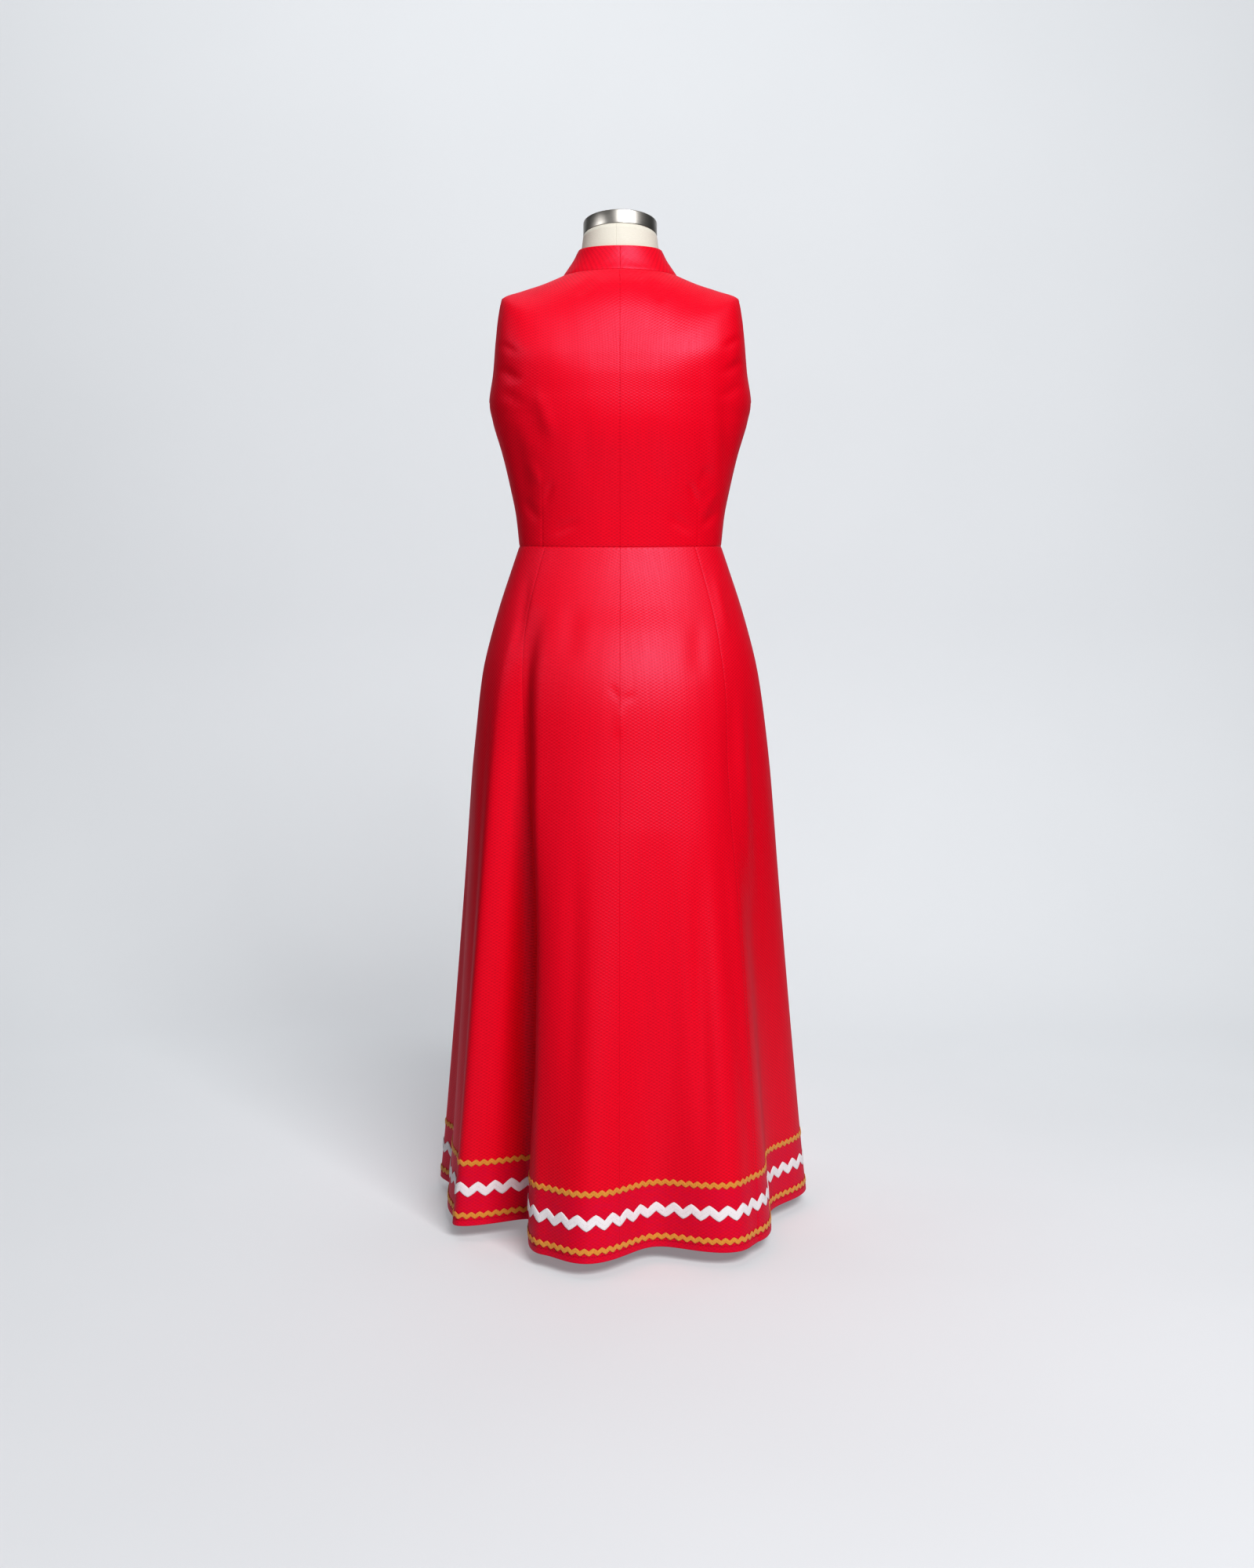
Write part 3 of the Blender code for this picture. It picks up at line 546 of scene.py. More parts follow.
def add_mesh(name, vertices, faces, material, uv=None, attributes=None):
    mesh = bpy.data.meshes.new(name)
    mesh.from_pydata(np.asarray(vertices).tolist(), [], faces)
    if uv is not None:
        corners = np.empty(len(mesh.loops), dtype=np.int32)
        mesh.loops.foreach_get("vertex_index", corners)
        mesh.uv_layers.new(name="UVMap").data.foreach_set("uv", np.asarray(uv)[corners].ravel())
    for key, values in (attributes or {}).items():
        mesh.attributes.new(key, "FLOAT", "POINT").data.foreach_set("value", values)
    mesh.materials.append(material)
    mesh.shade_smooth()
    mesh.update()
    return add_object(name, mesh)


def wall_faces(rows, columns, turned_round):
    """Faces of a thin wall: the outer grid, the inner grid and the cut edges."""
    count = rows * columns
    r, c = np.meshgrid(np.arange(rows - 1), np.arange(columns - 1), indexing="ij")
    first = (r * columns + c).ravel()
    quads = np.stack([first, first + 1, first + columns + 1, first + columns], 1)
    border = list(range(columns))
    border += [r * columns + columns - 1 for r in range(1, rows)]
    border += [(rows - 1) * columns + c for c in range(columns - 2, -1, -1)]
    border += [r * columns for r in range(rows - 2, 0, -1)]
    here = np.array(border)
    there = np.roll(here, -1)
    rim = np.stack([there, here, here + count, there + count], 1)
    faces = np.concatenate([quads, quads[:, ::-1] + count, rim])
    return (faces[:, ::-1] if turned_round else faces).tolist()


def turned_edge(lengths, armhole):
    """The armhole's turned edge: a thicker band beside the outer edge, in the armhole's rows."""
    ends = (lengths[:, :1], lengths[:, -1:])
    away = np.minimum(*[np.abs(lengths - end) for end in ends])
    band = np.clip((ARMHOLE_TURN - away) / ARMHOLE_TURN_SOFT, 0, 1)
    return band * ARMHOLE_TURN_THICK * armhole[:, None]


def cloth_piece(name, panel, lines, runs, seam_ends, satin, thickness=CLOTH, bands=None):
    """A panel of cloth as a thin shell, with its creases and with its edges dipped at seams.

    panel holds its points, which way each one faces and how far round its row each one is.
    lines holds, for each seam or dart, its distance round each row and its depth there.
    """
    points, normals, lengths = panel
    relief = crease_relief(points)
    beside_up, beside_across = np.zeros(relief.shape), np.zeros(relief.shape)
    for places, depths in lines:
        away = np.abs(lengths - places[:, None])
        depth = np.broadcast_to(depths, len(places))[:, None]
        relief -= SEAM_DIP * depth * dip(away)
        beside_up = np.maximum(beside_up, np.clip(depth, 0, 1) * np.exp(-away / PUCKER_REACH))
    for run, depth in zip((runs[0], runs[-1]), seam_ends):
        away = np.abs(runs - run)[:, None] + np.zeros(relief.shape)
        relief -= SEAM_DIP * depth * dip(away)
        beside_across = np.maximum(beside_across, depth * np.exp(-away / PUCKER_REACH))
    outer = points + normals * relief[..., None]
    inner = outer - normals * thickness
    across, up = points[0, 1] - points[0, 0], points[1, 0] - points[0, 0]
    turned_round = np.dot(np.cross(across, up), normals[0, 0]) < 0
    rows, columns = relief.shape
    from_grain_line = lengths - lengths[:, columns // 2 : columns // 2 + 1]
    uv = np.stack([from_grain_line, np.tile(runs[:, None], (1, columns))], 2).reshape(-1, 2)
    shares = {"seam_up": beside_up, "seam_across": beside_across, **(bands or {})}
    shell = add_mesh(
        f"dress_{name}",
        np.concatenate([outer.reshape(-1, 3), inner.reshape(-1, 3)]),
        wall_faces(rows, columns, turned_round),
        satin,
        np.concatenate([uv, uv]),
        {key: np.tile(np.broadcast_to(s, relief.shape).ravel(), 2) for key, s in shares.items()},
    )
    declare(shell, name)
    area = cloth_area(shell)


def drawn_in(lengths):
    """The distances with both ends a hair further in, so that two pieces only just part."""
    moved = lengths.copy()
    moved[0] += SEAM_SHOWN / 2
    moved[-1] -= SEAM_SHOWN / 2
    return moved


def panel_rows(ring, last_row, rows, seams_at, counts):
    """A panel of cloth by rows: its points, which way each one faces, how far round its row
    each one is, and how far round each row the panel's edges and darts are."""
    made = []
    for row in rows:
        points, normals = ring_with_normals(ring, row, last_row)
        seams = seams_at(points, row)
        lengths = drawn_in(stops_between(seams, counts))
        made.append((*sampled(points, normals, lengths), lengths, seams))
    return [np.array(values) for values in zip(*made)]


def back_seams(points, row):
    """Distances round the bodice of the centre back, the right dart and the right edge."""
    edge = length_at_angle(points, bodice_edge_angles(row)[0])
    back = slice(RING_POINTS // 4)
    dart = np.interp(BACK_DART_X, points[back, 0], arc_lengths(points)[back])
    return [0.0, min(dart, edge - DART_CLEAR), edge]


def front_dart(points):
    """The distance round the dress from the centre back to the right front dart."""
    front = slice(RING_POINTS // 4, RING_POINTS // 2)
    return np.interp(-FRONT_DART_X, -points[front, 0], arc_lengths(points)[front])


def front_seams(points, row):
    """Distances round the bodice of the front's right edge, its two darts and its left edge."""
    edge = bodice_edge_angles(row)[1]
    start, end = length_at_angle(points, edge), length_at_angle(points, 180 - edge)
    dart = max(front_dart(points), start + DART_CLEAR)
    return [start, dart, start + end - dart, end]


def ring_ends(points, row):
    """Distances round the collar of its two ends, which meet at the centre back."""
    return [0.0, arc_lengths(points)[-1]]


def dart_depths(place, lengths, seams, top_z):
    """How deep a bodice dart is in each row: 1 at the waist, falling to 0 at its top."""
    z = [np.interp(dart, *row) for dart, *row in zip(seams[:, 1], lengths, place[..., 2])]
    return np.clip((top_z - np.array(z)) / (top_z - WAIST_Z), 0, 1) ** DART_FADE


def make_bodice(satin):
    rows, runs = rows_between(bodice_ring, NECK_ROW, BODICE_CELL)
    armhole = (rows > UNDERARM_ROW) & (rows < TIP_ROW)
    edge = np.where(armhole, ARMHOLE_DEPTH, 1.0)
    surface = (bodice_ring, NECK_ROW, rows)
    place, facing, lengths, seams = panel_rows(*surface, back_seams, BACK_CELLS)
    dart = BACK_DART_DEPTH * dart_depths(place, lengths, seams, BACK_DART_TOP_Z)
    lines = list(zip(seams.T, (CENTRE_BACK_DEPTH, dart, edge)))
    turn = turned_edge(lengths, armhole) * (lengths > seams[:, 1:2])
    place = place + facing * turn[..., None]
    for side, flip in (("right", 1), ("left", -1)):
        panel = (place * (flip, 1, 1), facing * (flip, 1, 1), lengths)
        cloth_piece(f"bodice_back_{side}", panel, lines, runs, BODICE_ENDS, satin)
    place, facing, lengths, seams = panel_rows(*surface, front_seams, FRONT_CELLS)
    dart = dart_depths(place, lengths, seams, FRONT_DART_TOP_Z)
    lines = list(zip(seams.T, (edge, dart, dart, edge)))
    place = place + facing * turned_edge(lengths, armhole)[..., None]
    cloth_piece("bodice_front", (place, facing, lengths), lines, runs, BODICE_ENDS, satin)


def make_collar(satin):
    last = len(COLLAR_RINGS) - 1
    rows, runs = rows_between(collar_ring, last, COLLAR_CELL)
    *panel, seams = panel_rows(collar_ring, last, rows, ring_ends, COLLAR_CELLS)
    lines = [(line, COLLAR_OPENING_DEPTH) for line in seams.T]
    cloth_piece("collar", panel, lines, runs, COLLAR_ENDS, satin, COLLAR_CLOTH)


def skirt_seams(points, row):
    """Distances round the skirt of its seams, from the centre back by the right side."""
    gore = table_row(SKIRT_RINGS, row)[7]
    total = arc_lengths(points)[-1]
    to_front = length_at_angle(points, 90.0)
    return [0, gore, to_front / 2, total - (total - to_front) / 2, total - gore, total]


def make_skirt(satin):
    last = len(SKIRT_RINGS) - 1
    rows, runs = rows_between(skirt_ring, last, SKIRT_CELL)
    waist = skirt_ring(0)
    right_side, left_side = skirt_seams(waist, 0)[2:4]
    dart_share = (front_dart(waist) - right_side) / (left_side - right_side)
    turn = HEM_TURN_THICK * np.clip((HEM_TURN - (runs[-1] - runs)) / HEM_TURN_SOFT, 0, 1)
    band = np.clip((runs - (runs[-1] - HEM_BAND)) / HEM_BAND_SOFT, 0, 1)
    for k, (name, counts) in enumerate(SKIRT_PANELS.items()):

        def seams_at(points, row):
            start, end = skirt_seams(points, row)[k : k + 2]
            inset = dart_share * (end - start)
            darts = [start + inset, end - inset] if len(counts) > 1 else []
            return [start, *darts, end]

        place, facing, lengths, seams = panel_rows(skirt_ring, last, rows, seams_at, counts)
        fallen = (SKIRT_DART_TOP_Z - place[:, 0, 2]) / (SKIRT_DART_TOP_Z - SKIRT_DART_FOOT_Z)
        dart = 1 - np.clip(fallen, 0, 1)
        first = CENTRE_BACK_DEPTH if name == "skirt_back_centre_right" else 1.0
        final = CENTRE_BACK_DEPTH if name == "skirt_back_centre_left" else 1.0
        lines = [(seams[:, 0], first), (seams[:, -1], final)]
        lines += [(line, dart) for line in seams.T[1:-1]]
        panel = (place + facing * turn[:, None, None], facing, lengths)
        bands = {"hem_band": band[:, None]}
        cloth_piece(name, panel, lines, runs, SKIRT_ENDS, satin, bands=bands)


def cloth_area(obj):
    """Half the whole surface of a thin shell: the cloth's own area."""
    mesh = obj.data
    areas = np.empty(len(mesh.polygons))
    mesh.polygons.foreach_get("area", areas)
    return float(areas.sum() / 2)


def declare(obj, node_name=None):
    """Every piece rides on the one body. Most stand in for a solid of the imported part."""
    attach(obj, "root")
    if node_name:
        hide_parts(node_name)


class HemBand:
    """The skirt's lowest cloth, so that braids and stitches can be laid on it."""

    STEP = 0.002
    HEIGHT = 0.120
    COLUMNS = 1600
    ROW_SEARCH = 161

    def __init__(self):
        last = len(SKIRT_RINGS) - 1
        fine = np.linspace(last - 2, last, self.ROW_SEARCH)
        run = arc_lengths(np.array([skirt_ring(row)[ROW_LINE] for row in fine]))
        wanted = np.arange(0, self.HEIGHT + self.STEP, self.STEP)
        places, facings = [], []
        for row in np.interp(-wanted, run - run[-1], fine):
            points, normals = ring_with_normals(skirt_ring, row, last)
            lengths = np.linspace(0, arc_lengths(points)[-1], self.COLUMNS + 1)
            place, facing = sampled(points, normals, lengths)
            places.append(place + facing * crease_relief(place)[:, None])
            facings.append(facing)
        self.places, self.facings = np.array(places), np.array(facings)
        hem_run = arc_lengths(self.places[0])
        self.length = float(hem_run[-1])
        self.shares = hem_run / self.length

    def at(self, share, above, lift):
        """Points on the band: share goes once round the hem from the centre back."""
        column = np.interp(share % 1.0, self.shares, np.arange(self.COLUMNS + 1))
        left = np.minimum(column.astype(int), self.COLUMNS - 1)
        across = (column - left)[:, None]
        level = np.asarray(above) / self.STEP
        low = np.minimum(level.astype(int), len(self.places) - 2)
        up = (level - low)[:, None]

        def mixed(values):
            bottom = values[low, left] * (1 - across) + values[low, left + 1] * across
            top = values[low + 1, left] * (1 - across) + values[low + 1, left + 1] * across
            return bottom * (1 - up) + top * up

        facing = mixed(self.facings)
        facing /= np.linalg.norm(facing, axis=1)[:, None]
        return mixed(self.places) + facing * np.asarray(lift)[:, None]


def tube_faces(rows, columns, closed_rows):
    """Faces of a tube with its ends closed, or of a ring where the last row joins the first."""
    count = rows if closed_rows else rows - 1
    r, c = np.meshgrid(np.arange(count), np.arange(columns), indexing="ij")
    r, c = r.ravel(), c.ravel()
    up, beside = (r + 1) % rows, (c + 1) % columns
    corners = [r * columns + c, r * columns + beside, up * columns + beside, up * columns + c]
    faces = np.stack(corners, 1).tolist()
    if not closed_rows:
        foot = list(range(columns))
        faces += [foot[::-1], [(rows - 1) * columns + k for k in foot]]
    return faces


def braid_edges(turn, height, notch):
    """The braid's lower and upper edge about its middle: small round tips and sharp notches."""

    def wave(at):
        """0 in a notch and 1 on a tip: half way from a rounded wave to a straight zigzag."""
        return (np.abs(np.sin(math.pi * at)) + 1 - np.abs(2 * (at % 1) - 1)) / 2

    upper = height / 2 - notch * (1 - wave(turn))
    lower = -height / 2 + notch * (1 - wave(turn + 0.5))
    return lower, upper


def make_braid(name, band, yarn, thread, sizes):
    above_hem, height, notch, thick, waves, stations, slot = sizes
    turn = np.arange(waves * stations) / stations
    share = turn / waves
    lower, upper = braid_edges(turn, height, notch)
    across = np.array(BRAID_ACROSS)
    crown = (1 - np.abs(2 * across - 1) ** BRAID_CROWN) * (1 - BRAID_SIDE) + BRAID_SIDE
    on_turn = HEM_TURN_THICK * BRAID_ON_TURN if above_hem < 2 * HEM_TURN else 0.0
    parts = [*zip(across, crown), *((part, 0.0) for part in BRAID_UNDER)]
    columns = []
    for part, rise in parts:
        lift = np.full(len(turn), on_turn + BRAID_LIFT + thick * rise)
        columns.append(band.at(share, above_hem + lower + (upper - lower) * part, lift))
    rings = np.stack(columns, 1)
    height_uv = lower[:, None] + (upper - lower)[:, None] * np.array([part for part, _ in parts])
    pitch = band.length / waves
    uv = np.stack([np.repeat(turn * pitch, len(parts)), height_uv.ravel()], 1)
    faces = outward(rings, tube_faces(*rings.shape[:2], True))
    declare(add_mesh(f"dress_{name}", rings.reshape(-1, 3), faces, yarn, uv), name)
    lift = np.full(len(turn), BRAID_LIFT + thick)
    path = band.at(share, above_hem + (lower + upper) / 2, lift)
    declare(stitched(f"sewing_{name}", path, BRAID_STITCH, thread))


def outward(rings, faces):
    """The faces, turned round where they would point into the ring of sections."""
    flat = rings.reshape(-1, 3)
    first = flat[faces[1]]
    normal = np.cross(first[1] - first[0], first[2] - first[0])
    inward = rings[0].mean(0) - first.mean(0)
    if np.dot(normal, inward) > 0:
        return [face[::-1] for face in faces]
    return faces


def stitch_tree(thread):
    """Geometry Nodes that lay stitches along a path, one every pitch."""
    tree = bpy.data.node_groups.new("row of stitches", "GeometryNodeTree")
    sockets = tree.interface
    sockets.new_socket("Geometry", in_out="INPUT", socket_type="NodeSocketGeometry")
    for label in STITCH_INPUTS:
        sockets.new_socket(label, in_out="INPUT", socket_type="NodeSocketFloat")
    sockets.new_socket("Geometry", in_out="OUTPUT", socket_type="NodeSocketGeometry")
    pitch, length, thickness = STITCH_INPUTS
    entry = node(tree, "NodeGroupInput").outputs
    path = node(tree, "GeometryNodeMeshToCurve", {"Mesh": entry["Geometry"]})
    spaced = {"Curve": path, "Length": entry[pitch]}
    spots = node(tree, "GeometryNodeCurveToPoints", spaced, mode="LENGTH")
    bead = node(tree, "GeometryNodeMeshUVSphere", {"Segments": 6, "Rings": 4, "Radius": 0.5})
    along = {"Vector": spots.outputs["Tangent"]}
    turn = node(tree, "FunctionNodeAlignRotationToVector", along, axis="Z")
    size = node(tree, "ShaderNodeCombineXYZ", (entry[thickness], entry[thickness], entry[length]))
    laid = {"Points": spots, "Instance": bead, "Rotation": turn, "Scale": size}
    laid = node(tree, "GeometryNodeInstanceOnPoints", laid)
    real = node(tree, "GeometryNodeRealizeInstances", {"Geometry": laid})
    smooth = node(tree, "GeometryNodeSetShadeSmooth", {"Geometry": real})
    coloured = node(tree, "GeometryNodeSetMaterial", {"Geometry": smooth, "Material": thread})
    node(tree, "NodeGroupOutput", {"Geometry": coloured})
    return tree


def stitched(name, path, sizes, thread):
    """A closed row of stitches along a path of points, as one plain mesh."""
    mesh = bpy.data.meshes.new(f"{name} path")
    count = len(path)
    mesh.from_pydata(path.tolist(), [(k, (k + 1) % count) for k in range(count)], [])
    guide = add_object(f"{name}_path", mesh)
    modifier = guide.modifiers.new("stitches", "NODES")
    modifier.node_group = stitch_tree(thread)
    sizes = dict(zip(STITCH_INPUTS, sizes))
    for socket in modifier.node_group.interface.items_tree:
        if socket.in_out == "INPUT" and socket.name in sizes:
            modifier[socket.identifier] = sizes[socket.name]
    evaluated = guide.evaluated_get(bpy.context.evaluated_depsgraph_get())
    plain = bpy.data.meshes.new_from_object(evaluated)
    plain.name = name
    bpy.data.objects.remove(guide)
    return add_object(name, plain)


def make_hem_stitches(band, thread):
    share = np.arange(band.COLUMNS) / band.COLUMNS
    above = np.full(band.COLUMNS, HEM_STITCH_ABOVE)
    lift = np.full(band.COLUMNS, HEM_TURN_THICK + HEM_STITCH_LIFT)
    path = band.at(share, above, lift)
    declare(stitched("sewing_hem", path, HEM_STITCH, thread))


def cap_frame():
    return Matrix.Translation(CAP_CENTRE) @ Matrix.Rotation(-CAP_TILT, 4, "X")


def ring_under_cap():
    """The neck's top ring, just under the tilted cap."""
    frame, height = cap_frame(), -CAP_HEIGHT - SEAM_GAP
    ring = [(CAP_RADIUS * math.cos(a), CAP_RADIUS * math.sin(a), height) for a in ring_angles()]
    return np.array([frame @ Vector(point) for point in ring])


def make_form_torso(linen):
    rings = [plain_ring(*values) for values in FORM_HIP_RINGS.values()]
    for row in np.linspace(0, NECK_ROW - 1, FORM_BODICE_RINGS):
        points, normals = ring_with_normals(bodice_ring, row, NECK_ROW)
        side_ease, ease = table_row(BODICE_RINGS, row)[7:]
        sine = np.abs(np.sin(ring_angles()))
        inset = CLOTH + FORM_SPARE + side_ease + (ease - side_ease) * sine
        rings.append(points - normals * inset[:, None])
    rings += [plain_ring(*values) for values in FORM_NECK_RINGS.values()]
    rings.append(ring_under_cap())
    columns = np.linspace(0, 1, FORM_COLUMNS + 1)[:-1]
    coarse = []
    for points in rings:
        along = arc_lengths(points)
        coarse.append(resampled(points, along, columns * along[-1]))
    coarse = np.array(coarse)
    run = arc_lengths(coarse[:, 0])
    wanted = np.linspace(0, run[-1], FORM_ROWS)
    shape = np.empty((FORM_ROWS, FORM_COLUMNS, 3))
    for c, k in np.ndindex(FORM_COLUMNS, 3):
        shape[:, c, k] = smooth_through(wanted, run, coarse[:, c, k])
    uv = np.stack([np.tile(columns * NECK_GIRTH, FORM_ROWS), np.repeat(wanted, FORM_COLUMNS)], 1)
    faces = tube_faces(FORM_ROWS, FORM_COLUMNS, False)
    torso = add_mesh("dress_form_torso", shape.reshape(-1, 3), faces, linen, uv)
    declare(torso, "form_torso")


def rounded(profile, edge):
    """A turned profile with each inner corner rounded off by three short steps."""
    smooth = [profile[0]]
    for before, corner, after in zip(profile, profile[1:], profile[2:]):
        before, corner, after = (np.array(p) for p in (before, corner, after))
        into = before - corner
        out = after - corner
        reach = min(edge, np.linalg.norm(into) / 2, np.linalg.norm(out) / 2)
        start = corner + into / np.linalg.norm(into) * reach
        end = corner + out / np.linalg.norm(out) * reach
        for t in (0.0, 0.25, 0.5, 0.75, 1.0):
            smooth.append(tuple((1 - t) ** 2 * start + 2 * t * (1 - t) * corner + t**2 * end))
    smooth.append(profile[-1])
    return smooth


def turned(name, node_name, steel, edge, profile, frame=Matrix()):
    """A solid turned about +Z, from its foot to its top, with a small disc in each end."""
    foot, top = profile[0][1], profile[-1][1]
    profile = rounded([(END_DISC_RADIUS, foot), *profile, (END_DISC_RADIUS, top)], edge)
    turns = 2 * math.pi * np.arange(TURNED_SEGMENTS) / TURNED_SEGMENTS
    rings, runs = [], arc_lengths(np.array(profile))
    for radius, height in profile:
        level = np.full(TURNED_SEGMENTS, height)
        rings.append(np.stack([radius * np.cos(turns), radius * np.sin(turns), level], 1))
    faces = tube_faces(len(profile), TURNED_SEGMENTS, False)
    uv = np.stack([np.tile(turns / math.tau, len(profile)), np.repeat(runs, TURNED_SEGMENTS)], 1)
    obj = add_mesh(name, np.concatenate(rings), faces, steel, uv)
    obj.data.transform(frame)
    declare(obj, node_name)


def make_steel_parts(steel):
    cap = [(CAP_RADIUS, 0.0), (CAP_RADIUS, CAP_HEIGHT)]
    pole = [(POLE_RADIUS, HUB_TOP + SEAM_GAP), (POLE_RADIUS, FORM_BOTTOM_Z - SEAM_GAP)]
    base = [
        (BASE_RADIUS, 0.0),
        (BASE_RADIUS, BASE_THICK),
        (HUB_RADIUS, BASE_THICK),
        (HUB_RADIUS, HUB_TOP),
        (POLE_RADIUS + POLE_PLAY, HUB_TOP),
    ]
    cap_place = cap_frame() @ Matrix.Translation((0, 0, -CAP_HEIGHT))
    turned("form_cap_steel", "form_neck_cap", steel, CAP_EDGE, cap, cap_place)
    turned("form_pole_steel", "form_pole", steel, POLE_EDGE, pole)
    turned("form_base_steel", "form_base", steel, BASE_EDGE, base)


def linear(hex_colour):
    """An sRGB hex colour as linear red, green, blue and alpha."""
    parts = [int(hex_colour[k : k + 2], 16) / 255 for k in (1, 3, 5)]
    made = [p / 12.92 if p <= 0.04045 else ((p + 0.055) / 1.055) ** 2.4 for p in parts]
    return (*made, 1.0)


def wired(tree, made, values):
    """Sets or links a node's inputs. A node given as a value is linked by its first output."""
    for key, value in values.items() if isinstance(values, dict) else enumerate(values):
        if isinstance(value, bpy.types.Node):
            value = next(out for out in value.outputs if out.enabled)
        if isinstance(value, bpy.types.NodeSocket):
            tree.links.new(value, made.inputs[key])
        else:
            made.inputs[key].default_value = value
    return made


def node(tree, kind, values=(), **settings):
    """Adds a node, sets it up, and sets or links its inputs."""
    made = tree.nodes.new(kind)
    for key, value in settings.items():
        setattr(made, key, value)
    return wired(tree, made, values)


def new_material(name):
    material = bpy.data.materials.new(name)
    material.use_nodes = True
    tree = material.node_tree
    return material, tree, tree.nodes["Principled BSDF"]


def noises(tree, table):
    """One noise for each row of a table: where it is read, its grain's size in metres, detail."""
    made = {}
    for name, (place, size, detail) in table.items():
        scale = tuple(1 / s for s in size)
        grid = node(tree, "ShaderNodeMapping", {"Vector": place, "Scale": scale})
        settings = {"Vector": grid, "Scale": 1.0, "Detail": detail}
        made[name] = node(tree, "ShaderNodeTexNoise", settings)
    return made


def layered(tree, base, table):
    """A colour with a layer for each row: its share, how strong, from what share on, colour."""
    for share, strength, start, colour in table:
        spread = (share, strength, -start * strength)
        part = node(tree, "ShaderNodeMath", spread, operation="MULTIPLY_ADD", use_clamp=True)
        sockets = {0: part, 6: base, 7: linear(colour)}
        base = node(tree, "ShaderNodeMix", sockets, data_type="RGBA")
    return base


def embossed(tree, table):
    """Bumps, one over another, for each row: the height, how deep in metres, how strong."""
    relief = None
    for height, depth, strength in table:
        sockets = {"Height": height, "Distance": depth, "Strength": strength}
        if relief is not None:
            sockets["Normal"] = relief
        relief = node(tree, "ShaderNodeBump", sockets)
    return relief


def crossed_waves(tree, uv, pitch_x, pitch_y):
    """Waves across and waves up, multiplied: staggered dots, from 0 to 1."""
    parts = node(tree, "ShaderNodeSeparateXYZ", [uv])
    waves = []
    for axis, pitch in (("X", pitch_x), ("Y", pitch_y)):
        turn = (parts.outputs[axis], math.tau / pitch)
        turn = node(tree, "ShaderNodeMath", turn, operation="MULTIPLY")
        waves.append(node(tree, "ShaderNodeMath", [turn], operation="SINE"))
    crossing = node(tree, "ShaderNodeMath", waves, operation="MULTIPLY")
    return node(tree, "ShaderNodeMath", (crossing, 0.5, 0.5), operation="MULTIPLY_ADD")


def make_satin():
    """Polyester satin, woven with its floats up the cloth: a wide soft sheen, fine up-and-down
    threads, slow ripples where it hangs, and short puckers that run away from each seam."""
    material, tree, shader = new_material("polyester satin, red")
    uv = node(tree, "ShaderNodeUVMap", uv_map="UVMap")
    place = node(tree, "ShaderNodeTexCoord").outputs["Object"]
    # Satin floats are about 0.2 mm wide: they are drawn 0.9 mm wide so that they show.
    # The weave's small dots stand in rows 3.8 mm apart, one every 4.5 mm, staggered by row.
    noise = noises(tree, {
        "floats": (uv, (0.0009, 0.0090, 1.0), 1.0),
        "slubs": (uv, (0.0035, 0.060, 1.0), 2.0),
        "ripples": (uv, (0.050, 0.34, 1.0), 1.0),
        "clouds": (place, (0.16, 0.16, 0.30), 2.0),
        "grain": (uv, (0.0013, 0.0019, 1.0), 1.0),
        "mottle": (uv, (0.009, 0.006, 1.0), 2.0),
        "across puckers": (uv, (0.030, 0.0085, 1.0), 1.0),
        "up puckers": (uv, (0.0095, 0.034, 1.0), 1.0),
    })
    for kind, where in SATIN_NEAR.items():
        near = node(tree, "ShaderNodeAttribute", attribute_name=where).outputs["Fac"]
        pair = (noise[kind], near)
        noise[kind] = node(tree, "ShaderNodeMath", pair, operation="MULTIPLY")
    dots = (crossed_waves(tree, uv, 0.0076, 0.0045), 0.62, 0.0)
    dots = node(tree, "ShaderNodeMath", dots, operation="MULTIPLY_ADD")
    dots = (noise["grain"], 0.38, dots)
    dots = node(tree, "ShaderNodeMath", dots, operation="MULTIPLY_ADD")
    rough = (noise["slubs"], 0.09, 0.44)
    wired(tree, shader, {
        "Base Color": layered(tree, linear("#E60024"), [
            (noise["floats"], 0.55, 0.10, "#EC003A"),
            (noise["slubs"], 0.60, 0.30, "#D20026"),
            (noise["clouds"], 0.36, 0.33, "#EA003C"),
            (dots, 0.90, 0.40, "#98001E"),
            (noise["mottle"], 0.90, 0.10, "#CC0046"),
        ]),
        "Roughness": node(tree, "ShaderNodeMath", rough, operation="MULTIPLY_ADD"),
        "IOR": 1.50,
        "Specular IOR Level": 0.48,
        "Specular Tint": linear("#84DCFF"),
        "Anisotropic": 0.52,
        "Sheen Weight": 0.02,
        "Sheen Roughness": 0.35,
        "Sheen Tint": linear("#FF5A78"),
        "Tangent": node(tree, "ShaderNodeTangent", direction_type="UV_MAP", uv_map="UVMap"),
        "Normal": embossed(tree, [
            (noise["ripples"], 0.0030, 0.5),
            (noise["across puckers"], 0.0010, 0.45),
            (noise["up puckers"], 0.0010, 0.45),
            (dots, 0.00045, 0.5),
            (noise["slubs"], 0.00022, 0.35),
            (noise["floats"], 0.00012, 0.5),
        ]),
    })
    return material


